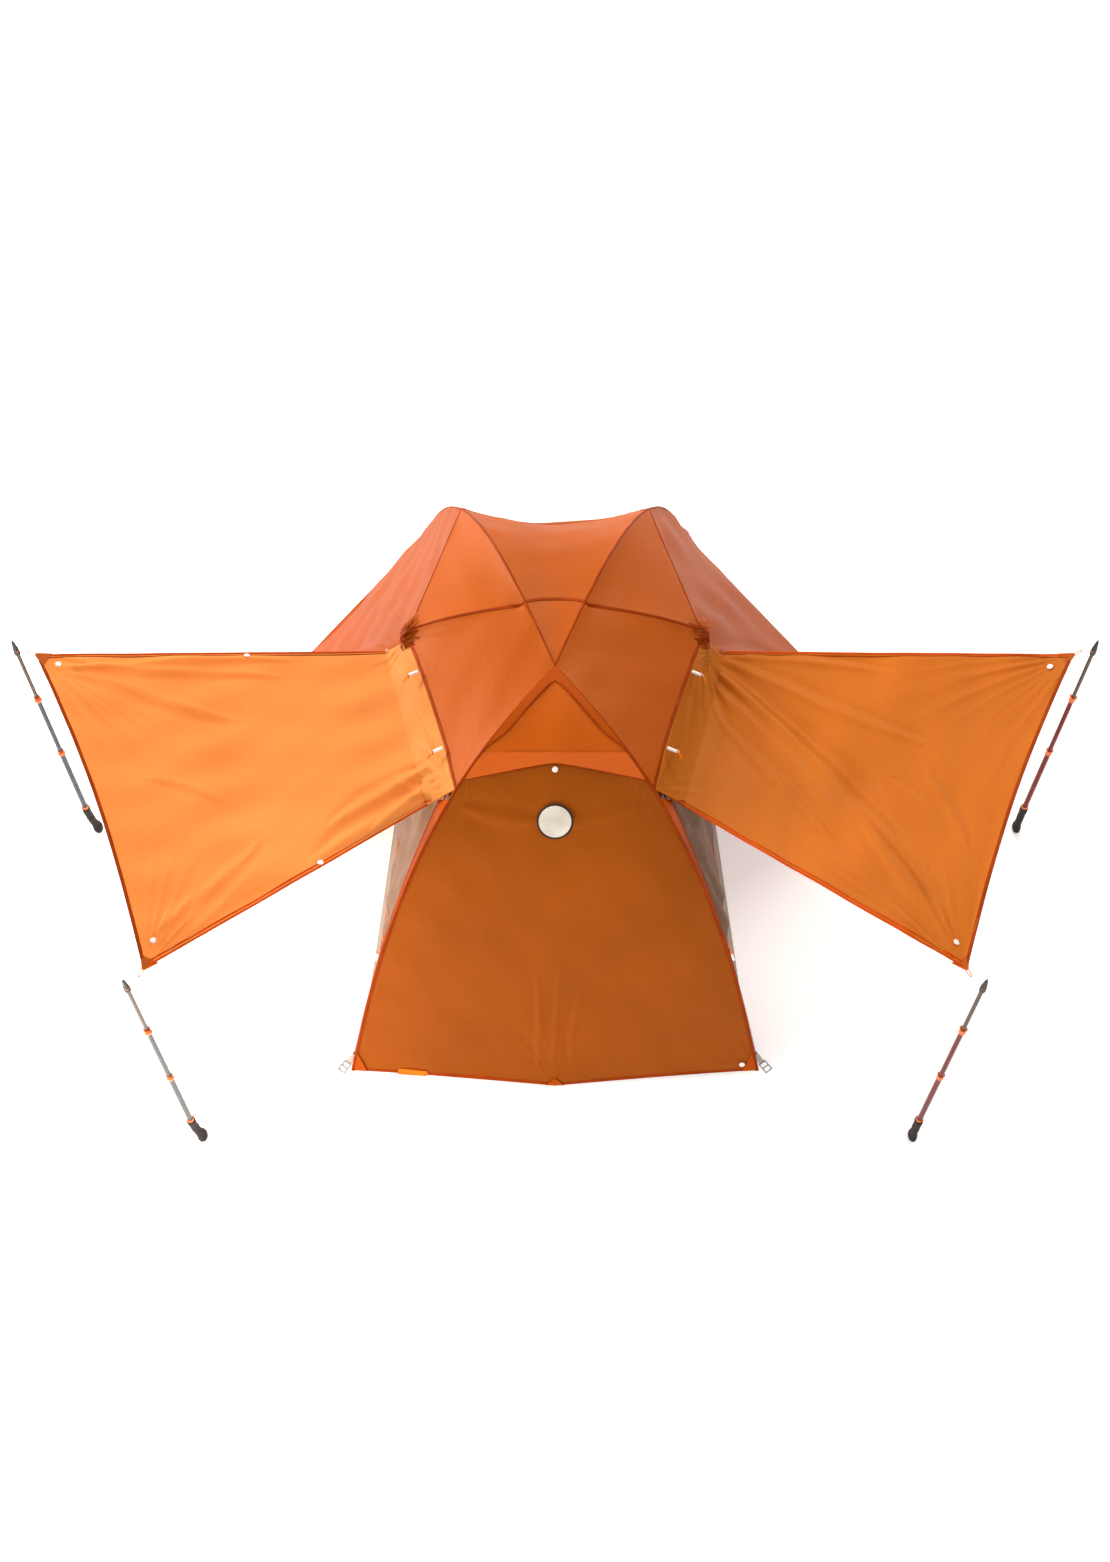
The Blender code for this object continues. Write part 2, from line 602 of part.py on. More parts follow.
# ---------------------------------------------------------------- trekking poles
def collar_profile(top):
    """The clamp collar round a tube's open end, from its lower edge to its upper edge."""
    return [(COLLAR_RADIUS - 0.002, top - COLLAR_HEIGHT - 0.004), (COLLAR_RADIUS, top - COLLAR_HEIGHT),
            (COLLAR_RADIUS, top - 0.002), (COLLAR_RADIUS - 0.002, top)]


def grip_shape(height):
    """The handle is deeper than wide, and leans towards the user at its head."""
    if height > GRIP_LENGTH:
        return 1.0, 0.0, 1.0
    lean = 1.0 - height / GRIP_LENGTH
    return 0.80, 0.0, 1.0 + 0.28 * lean


def build_grip(name, centre, material):
    """Handle and upper tube in one, standing on the handle's head, bored from its top end."""
    outside = [(0.0, 0.0), (0.012, 0.0), (0.019, 0.006), (0.020, 0.020), (0.0150, 0.034),
               (0.0145, 0.060), (0.0165, 0.085), (0.0150, 0.110), (0.0175, 0.135),
               (0.0160, GRIP_LENGTH), (UPPER_RADIUS, GRIP_LENGTH + 0.003),
               (UPPER_RADIUS, UPPER_END - COLLAR_HEIGHT - 0.006)]
    outside += collar_profile(UPPER_END)
    bore = [(UPPER_BORE, UPPER_END), (UPPER_BORE, BORE_FLOOR), (0.0, BORE_FLOOR)]
    turned(name, outside + bore, centre, material, squash=grip_shape)


def build_lever(name, centre, top, side, material):
    """A curved clamp lever round its collar, on an upright pin at one end."""
    inner = COLLAR_RADIUS + LEVER_GAP
    outer = inner + LEVER_THICKNESS
    angles = spaced(0.0, LEVER_ARC, 7)
    shape = [(outer * math.cos(a), side * outer * math.sin(a)) for a in angles]
    shape += [(inner * math.cos(a), side * inner * math.sin(a)) for a in reversed(angles)]
    low = top - COLLAR_HEIGHT + 0.003
    place = Matrix.Translation(centre + Vector((0.0, 0.0, low)))
    extruded(name, shape, 0.0, LEVER_HEIGHT, material, place,
             origin=centre + Vector((0.5 * (inner + outer), 0.0, low)))


def build_trekking_pole(place_name, side, materials):
    station, height = POLE_STATIONS[place_name]
    centre = mirrored(station, side)
    prefix = f"trek_{place_name}_{SIDE_NAMES[side]}"
    metal = materials[side]
    lower_top = height
    lower_foot = height - TIP_LENGTH - LOWER_LENGTH
    middle_top = 0.5 * (UPPER_END + height) + MIDDLE_TOP_OFFSET
    middle_foot = middle_top - MIDDLE_LENGTH
    build_grip(f"{prefix}_grip", centre, materials["grip"])
    middle = [(0.0, middle_foot), (MIDDLE_RADIUS, middle_foot),
              (MIDDLE_RADIUS, middle_top - COLLAR_HEIGHT - 0.006)]
    middle += collar_profile(middle_top)
    middle += [(MIDDLE_BORE, middle_top), (MIDDLE_BORE, middle_foot + 0.010), (0.0, middle_foot + 0.010)]
    turned(f"{prefix}_middle_tube", middle, centre, metal)
    basket = lower_top - TIP_LENGTH
    lower = [(0.0, lower_foot), (LOWER_RADIUS, lower_foot), (LOWER_RADIUS, basket - 0.008),
             (BASKET_RADIUS, basket - 0.003), (BASKET_RADIUS, basket), (0.0065, basket + 0.003),
             (0.0045, lower_top - 0.012), (0.0028, lower_top - 0.011), (0.0022, lower_top), (0.0, lower_top)]
    turned(f"{prefix}_lower_tube", lower, centre, metal)
    build_lever(f"{prefix}_upper_lever", centre, UPPER_END, side, materials["lever"])
    build_lever(f"{prefix}_lower_lever", centre, middle_top, side, materials["lever"])


# ---------------------------------------------------------------- whole tent
def main():
    for body in list(bpy.data.objects):
        bpy.data.objects.remove(body, do_unlink=True)
    materials = make_materials()
    build_hub(materials)
    build_legs(materials)
    build_brow_pole(materials)
    build_corner_straps(materials)
    build_floor_tub(materials)
    build_inner_tent(materials)
    build_fly(materials)
    for side in SIDE_NAMES:
        for place_name in POLE_STATIONS:
            build_trekking_pole(place_name, side, materials)


main()
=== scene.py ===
"""Looks of the frame tent: cloth, seams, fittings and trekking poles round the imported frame.

Metres, +Z up, -Y is the head end. Shapes are worked out for the right side and mirrored.
"""
import math

import bmesh
import bpy
import numpy as np
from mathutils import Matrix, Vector


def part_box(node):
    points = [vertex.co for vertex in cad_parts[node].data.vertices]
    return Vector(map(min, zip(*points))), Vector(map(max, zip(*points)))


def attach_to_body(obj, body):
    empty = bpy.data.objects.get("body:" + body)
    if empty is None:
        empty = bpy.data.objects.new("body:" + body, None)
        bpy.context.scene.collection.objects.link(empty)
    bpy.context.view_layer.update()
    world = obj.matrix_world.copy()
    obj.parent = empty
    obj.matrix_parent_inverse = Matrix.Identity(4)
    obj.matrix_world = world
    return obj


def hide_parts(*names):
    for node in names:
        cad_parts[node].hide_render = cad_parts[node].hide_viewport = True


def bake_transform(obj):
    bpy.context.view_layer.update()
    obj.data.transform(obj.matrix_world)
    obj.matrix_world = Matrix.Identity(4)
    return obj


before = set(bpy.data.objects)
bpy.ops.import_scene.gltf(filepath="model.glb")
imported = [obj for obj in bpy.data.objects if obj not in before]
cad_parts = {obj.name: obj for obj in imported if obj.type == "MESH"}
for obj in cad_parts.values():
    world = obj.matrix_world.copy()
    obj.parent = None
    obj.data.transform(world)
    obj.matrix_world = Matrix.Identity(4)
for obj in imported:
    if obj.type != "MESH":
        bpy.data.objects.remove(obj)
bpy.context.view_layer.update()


def vec(*numbers):
    return np.array(numbers, float)


def middle_of(node):
    low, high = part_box(node)
    return (np.array(low) + np.array(high)) / 2.0


# ---------------------------------------------------------------- the frame's own dimensions
HUB = vec(0.0, -0.215, middle_of("hub")[2])
HEAD_FOOT = vec(0.672, -1.080, 0.006)
FOOT_FOOT = vec(0.490, 1.060, 0.006)
ARCH_POWER = 3.0
HUB_ARM = 0.050
POLE_RADIUS = 0.0045
BROW_Y = 0.030
BROW_TOP = 1.022
BROW_END = vec(0.470, BROW_Y, 0.885)
FLOOR_HEAD = vec(0.650, -1.050, 0.0)
FLOOR_FOOT = vec(0.470, 1.030, 0.0)
TUB_HEAD_TOP = vec(0.610, -1.000, 0.150)
TUB_FOOT_TOP = vec(0.435, 0.960, 0.150)
FLY_STANDOFF = 0.014
INNER_STANDOFF = 0.045
FLY_HEAD_CORNER = vec(0.675, -1.150, 0.030)
FLY_FOOT_CORNER = vec(0.505, 1.085, 0.030)
CORNER_SPREAD_POWER = 6.0
BROW_FLY_OFFSET = vec(0.004, 0.0, 0.012)
STRIP_EVEN_SHARE = 0.15
DOOR_TOP_FAR = vec(0.510, 0.020, 0.790)
DOOR_TOP_NEAR = vec(0.360, -0.590, 0.870)
STRIP_TOP_T = 0.53
AWNING_FAR = vec(1.590, -0.230, 1.148)
AWNING_NEAR = vec(1.152, -1.275, 1.110)
STAKE_POINT = vec(1.300, 0.015, 0.020)
AWNING_HEM_HOLLOW = 0.030
AWNING_SAG = 0.035
AWNING_EDGE_GAP = 0.006
VENT_T = 0.58
VENT_PEAK_T = 0.632
BAND_TOP_T = 0.668
PATCH_T = 0.469
SADDLE_DIP = vec(0.0, -0.026, -0.054)
PEG_PULL = vec(0.0, -0.046, -0.020)
PEG_PULL_START = 0.55
RIDGE_SEAM_T = 0.3465
MESH_DOOR_BOTTOM_Y = (-0.80, 0.70)
MESH_DOOR_TOP = (vec(0.335, -0.520, 0.800), vec(0.430, 0.000, 0.800), vec(0.300, 0.500, 0.700))
WALL_BOTTOM_Z = 0.158
CORNER_WALL_RISE = 0.012
HEAD_WALL_TOP = 0.915
FOOT_WALL_TOP = 0.760
TOGGLE_STARTS = {"far": vec(0.436, -0.150, 0.924), "near": vec(0.347, -0.455, 0.959)}
TOGGLE_REACH = vec(0.036, -0.010, -0.012)

SIDES = {-1: "left", 1: "right"}
UP = vec(0.0, 0.0, 1.0)
LEVEL = vec(1.0, 1.0, 0.0)
INSIDE = vec(0.0, 0.0, 0.30)

# How sheets start, overlap, bend and are made up. FOLD_SCALE deepens every fold and crease.
HUB_START = 0.002
WALL_TUCK = 0.012
WALL_LIFT = -0.0022
HEAD_STEPS = 400
CLOTH_THICKNESS = 0.0008
TAPE_THICKNESS = 0.0011
FOLD_SCALE = 1.8


# ---------------------------------------------------------------- curves and surfaces
def unit(a):
    return a / np.maximum(np.linalg.norm(a, axis=-1, keepdims=True), 1e-12)


def mirror(points, side):
    return np.asarray(points, float) * vec(side, 1.0, 1.0)


def leg_line(foot, ts):
    t = np.asarray(ts, float)[:, None]
    points = foot + (HUB - foot) * t
    points[:, 2] = (foot[2] + (HUB[2] - foot[2]) * (1.0 - (1.0 - t) ** ARCH_POWER))[:, 0]
    return points


def leg_outward(foot, ts):
    step = 0.001
    ts = np.asarray(ts, float)
    tangent = leg_line(foot, ts + step) - leg_line(foot, ts - step)
    flat = HUB - foot
    across = vec(flat[1], -flat[0], 0.0)
    return unit(np.cross(across, tangent))


def ridge(foot, corner, ts):
    ts = np.asarray(ts, float)
    points = leg_line(foot, ts) + leg_outward(foot, ts) * FLY_STANDOFF
    ground = leg_line(foot, [0.0]) + leg_outward(foot, [0.0]) * FLY_STANDOFF
    return points + (corner - ground) * ((1.0 - ts) ** CORNER_SPREAD_POWER)[:, None]


def head_ridge(ts):
    return ridge(HEAD_FOOT, FLY_HEAD_CORNER, ts)


def foot_ridge(ts):
    return ridge(FOOT_FOOT, FLY_FOOT_CORNER, ts)


def inner_line(foot, top_height):
    def t_at(height):
        return 1.0 - (1.0 - (height - foot[2]) / (HUB[2] - foot[2])) ** (1.0 / ARCH_POWER)
    ts = np.linspace(t_at(WALL_BOTTOM_Z + CORNER_WALL_RISE), t_at(top_height), 30)
    return leg_line(foot, ts) - leg_outward(foot, ts) * INNER_STANDOFF


BROW_T = (FOOT_FOOT[1] - BROW_Y) / (FOOT_FOOT[1] - HUB[1])


def brow_line(xs):
    xs = np.asarray(xs, float)
    drop = (BROW_TOP - BROW_END[2]) * (xs / BROW_END[0]) ** 2
    return np.stack([xs, np.full_like(xs, BROW_Y), BROW_TOP - drop], -1)


def brow_edge():
    crossing = foot_ridge([BROW_T])
    xs = np.linspace(crossing[0, 0], BROW_END[0], 30)[1:]
    return np.concatenate([crossing, brow_line(xs) + BROW_FLY_OFFSET])


def strip_edge(count):
    ts = np.linspace(STRIP_TOP_T, 0.0, count)
    share = (ts / STRIP_TOP_T)[:, None]
    top_width = DOOR_TOP_NEAR - head_ridge([STRIP_TOP_T])
    taper = STRIP_EVEN_SHARE * share ** 0.5 + (1.0 - STRIP_EVEN_SHARE) * share ** 3
    return head_ridge(ts) + top_width * taper


def lengths(points):
    steps = np.linalg.norm(np.diff(points, axis=0), axis=1)
    return np.concatenate([[0.0], np.cumsum(steps)])


def read(points, shares):
    """Points of a polyline at shares of its length."""
    marks = lengths(points)
    want = np.clip(shares, 0.0, 1.0) * marks[-1]
    return np.stack([np.interp(want, marks, points[:, k]) for k in range(3)], -1)


def smooth_step(x):
    x = np.clip(x, 0.0, 1.0)
    return x * x * (3.0 - 2.0 * x)


def turn(count):
    """Angles of count points round a circle."""
    return np.linspace(0.0, 2.0 * np.pi, count, endpoint=False)


# ---------------------------------------------------------------- materials
def linear(red, green, blue):
    """A display colour, 0 to 255, as the renderer's linear one."""
    out = []
    for value in (red, green, blue):
        value /= 255.0
        out.append(value / 12.92 if value <= 0.04045 else ((value + 0.055) / 1.055) ** 2.4)
    return tuple(out)


class Graph:
    """A material's nodes. A socket given as a value is linked, anything else is set."""

    def __init__(self, name):
        self.material = bpy.data.materials.new(name)
        self.material.use_nodes = True
        self.tree = self.material.node_tree
        self.tree.nodes.clear()
        self.output = self.tree.nodes.new("ShaderNodeOutputMaterial")

    def add(self, kind, inputs=None, **settings):
        made = self.tree.nodes.new("ShaderNode" + kind)
        for key, value in settings.items():
            setattr(made, key, value)
        for key, value in (inputs or {}).items():
            if isinstance(value, bpy.types.NodeSocket):
                self.tree.links.new(value, made.inputs[key])
            else:
                if isinstance(value, tuple) and len(value) == 3 and made.inputs[key].type == "RGBA":
                    value = (*value, 1.0)
                made.inputs[key].default_value = value
        return made

    def coordinates(self, which, scale=(1.0, 1.0, 1.0)):
        source = self.add("TexCoord").outputs[which]
        return self.add("Mapping", {"Vector": source, "Scale": scale}).outputs["Vector"]

    def math(self, operation, a, b=0.5):
        return self.add("Math", {0: a, 1: b}, operation=operation).outputs[0]

    def noise(self, place, scale, detail, **inputs):
        more = {"Vector": place, "Scale": scale, "Detail": detail, **inputs}
        return self.add("TexNoise", more).outputs["Fac"]

    def ramp(self, factor, stops):
        made = self.add("ValToRGB", {"Fac": factor})
        elements = made.color_ramp.elements
        while len(elements) < len(stops):
            elements.new(0.5)
        for element, (place, colour) in zip(elements, stops):
            element.position = place
            element.color = (*colour, 1.0)
        return made.outputs["Color"]

    def mix(self, factor, a, b, blend="MIX"):
        made = self.add("Mix", data_type="RGBA", blend_type=blend)
        for socket, value in ((made.inputs[0], factor), (made.inputs[6], a), (made.inputs[7], b)):
            if isinstance(value, bpy.types.NodeSocket):
                self.tree.links.new(value, socket)
            else:
                socket.default_value = (*value, 1.0) if isinstance(value, tuple) else value
        return made.outputs[2]

    def bump(self, height, strength, distance, normal=None):
        inputs = {"Height": height, "Strength": strength, "Distance": distance}
        if normal is not None:
            inputs["Normal"] = normal
        return self.add("Bump", inputs).outputs["Normal"]

    def between(self, share, first, second):
        """Two shaders mixed, with share of the second."""
        return self.add("MixShader", {0: share, 1: first.outputs[0], 2: second.outputs[0]})

    def finish(self, shader):
        self.tree.links.new(shader.outputs[0], self.output.inputs["Surface"])
        return self.material


def shade(colour, factor):
    return tuple(min(c * factor, 1.0) for c in colour)


def ripstop(graph, uv, square=0.005, thread=0.00045):
    """Height of a ripstop weave: fine threads both ways, and a thicker one every square."""
    split = graph.add("SeparateXYZ", {"Vector": uv})
    grid = []
    for axis in ("X", "Y"):
        phase = graph.math("MULTIPLY", split.outputs[axis], 1.0 / square)
        saw = graph.math("PINGPONG", phase, 0.5)
        grid.append(graph.math("LESS_THAN", saw, 0.055))
    thick = graph.math("MAXIMUM", *grid)
    fine = []
    for axis in ("X", "Y"):
        phase = graph.math("MULTIPLY", split.outputs[axis], math.pi / thread)
        fine.append(graph.math("ABSOLUTE", graph.math("SINE", phase, 0.0), 0.0))
    weave = graph.math("MULTIPLY", *fine)
    return graph.math("ADD", graph.math("MULTIPLY", weave, 0.35), graph.math("MULTIPLY", thick, 0.8))


def cloth(name, colour, glow, glow_share=0.42, roughness=0.52, crumple=0.35, gloss=0.24):
    """Thin coated ripstop that lets some light through."""
    g = Graph(name)
    place = g.coordinates("Object")
    broad = g.noise(place, 2.1, 2.0, Roughness=0.5)
    fine = g.noise(place, 160.0, 3.0, Roughness=0.6)
    tone = g.ramp(broad, [(0.30, shade(colour, 0.9)), (0.70, shade(colour, 1.1))])
    speck = g.ramp(fine, [(0.35, (0.94, 0.94, 0.94)), (0.65, (1.0, 1.0, 1.0))])
    tone = g.mix(1.0, tone, speck, "MULTIPLY")
    weave = ripstop(g, g.coordinates("UV"))
    tone = g.mix(g.math("MULTIPLY", weave, 0.10), tone, shade(colour, 0.80))
    creases = g.noise(g.coordinates("UV", (9.0, 34.0, 1.0)), 1.0, 4.0, Roughness=0.55,
                      Distortion=1.2)
    crackle = g.add("TexVoronoi", {"Vector": g.coordinates("UV", (26.0, 15.0, 1.0)), "Scale": 1.0,
                                   "Randomness": 1.0}, feature="DISTANCE_TO_EDGE")
    crack = g.math("MINIMUM", crackle.outputs["Distance"], 0.10)
    soft = g.math("ADD", creases, g.math("MULTIPLY", crack, 1.6))
    normal = g.bump(weave, 0.22, 0.00025, g.bump(soft, crumple, 0.0022))
    rough = g.math("ADD", g.math("MULTIPLY", fine, 0.12), roughness - 0.06)
    body = g.add("BsdfPrincipled", {"Base Color": tone, "Roughness": rough, "Normal": normal,
                                    "Specular IOR Level": gloss,
                                    "Specular Tint": (1.0, 0.70, 0.45)})
    through = g.add("BsdfTranslucent", {"Color": glow, "Normal": normal})
    return g.finish(g.between(glow_share, body, through))


def tape(name, colour, stitches=(0.25, 0.75)):
    """Woven binding with rows of stitches. UV: metres along, share of the girth across."""
    g = Graph(name)
    split = g.add("SeparateXYZ", {"Vector": g.add("TexCoord").outputs["UV"]})
    along, across = split.outputs["X"], split.outputs["Y"]
    ribs = g.math("SINE", g.math("MULTIPLY", along, 2.0 * math.pi / 0.0012), 0.0)
    cross = g.math("SINE", g.math("MULTIPLY", across, 2.0 * math.pi * 16.0), 0.0)
    weave = g.math("MULTIPLY", ribs, cross)
    dash = g.math("LESS_THAN", g.math("FRACT", g.math("MULTIPLY", along, 1.0 / 0.0034), 0.0), 0.62)
    rows = None
    for place in stitches:
        off = g.math("ABSOLUTE", g.math("SUBTRACT", across, place), 0.0)
        row = g.math("LESS_THAN", off, 0.022)
        rows = row if rows is None else g.math("MAXIMUM", rows, row)
    noise = g.noise(g.coordinates("Object"), 14.0, 3.0)
    tone = g.ramp(noise, [(0.30, shade(colour, 0.82)), (0.72, shade(colour, 1.14))])
    height = g.math("MULTIPLY", weave, 0.25)
    if rows is not None:
        stitch = g.math("MULTIPLY", rows, dash)
        tone = g.mix(g.math("MULTIPLY", stitch, 0.75), tone, shade(colour, 0.55))
        height = g.math("SUBTRACT", height, g.math("MULTIPLY", rows, 0.7))
        height = g.math("ADD", height, g.math("MULTIPLY", stitch, 0.9))
    normal = g.bump(height, 0.6, 0.0004)
    body = g.add("BsdfPrincipled", {"Base Color": tone, "Roughness": 0.62, "Normal": normal,
                                    "Specular IOR Level": 0.15,
                                    "Specular Tint": (1.0, 0.50, 0.20)})
    through = g.add("BsdfTranslucent", {"Color": colour, "Normal": normal})
    return g.finish(g.between(0.15, body, through))


def net(name, colour, clear):
    """Fine insect mesh: small round holes, woven threads, partly see-through."""
    g = Graph(name)
    cells = g.add("TexVoronoi", {"Vector": g.coordinates("UV"), "Scale": 700.0,
                                 "Randomness": 0.15}, feature="DISTANCE_TO_EDGE")
    noise = g.noise(g.coordinates("Object"), 6.0, 3.0)
    tone = g.ramp(noise, [(0.3, shade(colour, 0.88)), (0.7, shade(colour, 1.10))])
    hole = g.ramp(cells.outputs["Distance"], [(0.10, (1.0, 1.0, 1.0)), (0.35, (0.80, 0.80, 0.80))])
    tone = g.mix(1.0, tone, hole, "MULTIPLY")
    normal = g.bump(cells.outputs["Distance"], 0.3, 0.0004)
    body = g.add("BsdfPrincipled", {"Base Color": tone, "Roughness": 0.72, "Normal": normal,
                                    "Sheen Weight": 0.25, "Specular IOR Level": 0.2})
    through = g.add("BsdfTranslucent", {"Color": shade(colour, 1.15)})
    woven = g.between(0.35, body, through)
    return g.finish(g.between(clear, woven, g.add("BsdfTransparent")))


def metal(name, colour, roughness):
    """Anodised tube: faint drawing lines and handling marks."""
    g = Graph(name)
    lines = g.noise(g.coordinates("UV", (6.0, 260.0, 1.0)), 1.0, 2.0)
    marks = g.noise(g.coordinates("Object"), 30.0, 5.0, Roughness=0.7)
    tone = g.ramp(marks, [(0.32, shade(colour, 0.78)), (0.60, colour),
                          (0.78, shade(colour, 1.30))])
    rough = g.math("ADD", g.math("MULTIPLY", marks, 0.22), roughness - 0.11)
    return g.finish(g.add("BsdfPrincipled", {"Base Color": tone, "Roughness": rough,
                                             "Normal": g.bump(lines, 0.12, 0.0002),
                                             "Metallic": 1.0}))


def moulded(name, colour, roughness, grain=900.0, through=0.0):
    """Moulded plastic or rubber with a fine grain."""
    g = Graph(name)
    place = g.coordinates("Object")
    wear = g.noise(place, 45.0, 4.0, Roughness=0.65)
    tone = g.ramp(wear, [(0.34, shade(colour, 0.86)), (0.70, shade(colour, 1.12))])
    rough = g.math("ADD", g.math("MULTIPLY", wear, 0.18), roughness - 0.09)
    normal = g.bump(g.noise(place, grain, 2.0), 0.15, 0.0003)
    body = g.add("BsdfPrincipled", {"Base Color": tone, "Roughness": rough, "Normal": normal})
    if through:
        body.inputs["Subsurface Weight"].default_value = through
        body.inputs["Subsurface Scale"].default_value = 0.004
    return g.finish(body)


def knurled(name, colour):
    """Foam and rubber of the handles, with a crossed pattern pressed in."""
    g = Graph(name)
    uv = g.add("SeparateXYZ", {"Vector": g.add("TexCoord").outputs["UV"]})
    lines = []
    for sign in (1.0, -1.0):
        slant = g.math("ADD", g.math("MULTIPLY", uv.outputs["X"], 2.0 * math.pi / 0.006),
                       g.math("MULTIPLY", uv.outputs["Y"], sign * 2.0 * math.pi * 14.0))
        lines.append(g.math("SINE", slant, 0.0))
    noise = g.noise(g.coordinates("Object"), 60.0, 4.0)
    tone = g.ramp(noise, [(0.3, shade(colour, 0.8)), (0.7, shade(colour, 1.6))])
    normal = g.bump(g.math("MAXIMUM", *lines), 0.45, 0.0006)
    return g.finish(g.add("BsdfPrincipled", {"Base Color": tone, "Roughness": 0.78,
                                             "Normal": normal, "Specular IOR Level": 0.35}))


MATERIALS = {
    "fly": cloth("fly_cloth", linear(198, 94, 10), linear(206, 98, 8), gloss=0.32),
    "pink": cloth("vestibule_cloth", linear(186, 88, 28), linear(206, 104, 26), roughness=0.50),
    "vent": cloth("vent_cloth", linear(214, 104, 16), linear(226, 110, 12)),
    # Painted shade: the head wall is the fly's own cloth, painted darker brown for the shade it
    # stands in below the vent.
    "wall": cloth("end_wall_cloth_painted_shade", linear(158, 76, 5), linear(160, 76, 4), glow_share=0.22,
                  gloss=0.20),
    # Painted light: both awnings are the fly's own cloth, painted lighter and yellower than the fly
    # for the light falling on them. The left copy is painted lighter again, and the right one's
    # darker colour is painted shade.
    "awning_left": cloth("awning_cloth_painted_light", linear(232, 158, 80), linear(242, 164, 80),
                         crumple=0.60),
    "awning_right": cloth("awning_cloth", linear(204, 118, 34), linear(214, 124, 30),
                          crumple=0.60),
    "band": cloth("double_cloth", linear(180, 76, 8), linear(184, 76, 6), glow_share=0.20,
                  crumple=0.20, gloss=0.1),
    "hem_band": cloth("hem_band_cloth", linear(220, 104, 34), linear(226, 104, 26), glow_share=0.3),
    "binding": tape("seam_binding", linear(150, 54, 4)),
    "door_zip": tape("door_zip_tape", linear(196, 70, 8), stitches=(0.2, 0.8)),
    "zip_teeth": moulded("zip_teeth", linear(150, 60, 30), 0.40, 1400.0),
    "net": net("mesh_net", linear(150, 116, 90), clear=0.10),
    "net_seam": tape("mesh_seam_tape", linear(206, 130, 98), stitches=(0.5,)),
    "tub": cloth("floor_cloth", linear(140, 126, 112), linear(110, 100, 90), glow_share=0.08,
                 roughness=0.45, crumple=0.30),
    "webbing": tape("grey_webbing", linear(206, 203, 198), stitches=(0.12, 0.88)),
    "loop": tape("orange_webbing", linear(232, 112, 24), stitches=()),
    "alloy": metal("pole_alloy", linear(176, 178, 182), 0.30),
    "ferrule": metal("ferrule_alloy", linear(120, 122, 128), 0.25),
    "plastic": moulded("dark_plastic", linear(36, 32, 30), 0.45),
    "buckle": moulded("grey_buckle", linear(120, 122, 126), 0.40),
    "white": moulded("white_toggle", linear(230, 228, 224), 0.38, through=0.1),
    "grip": knurled("grip_foam", linear(30, 27, 26)),
    "clamp": moulded("orange_clamp", linear(216, 104, 34), 0.36),
    -1: metal("grey_tube_finish", linear(78, 86, 92), 0.36),
    1: metal("red_tube_finish", linear(118, 40, 36), 0.34),
    "tip_tube": metal("lower_tube_finish", linear(96, 86, 80), 0.34),
    "carbide": metal("tip_metal", linear(90, 88, 86), 0.24),
    "patch": tape("round_patch_cloth", linear(226, 220, 206), stitches=()),
    "patch_rim": tape("round_patch_rim", linear(52, 46, 44), stitches=()),
}


# ---------------------------------------------------------------- pieces
def add_object(name, mesh):
    made = bpy.data.objects.new(name, mesh)
    bpy.context.scene.collection.objects.link(made)
    return made


def thicken(piece, thickness):
    thick = piece.modifiers.new("Thickness", "SOLIDIFY")
    thick.thickness = thickness
    thick.offset = 0.0


def attach(piece, body, replaces):
    """body is None for a piece that is attached to no body and stays where it was made."""
    if body:
        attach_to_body(piece, body)
    if replaces:
        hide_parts(*replaces)


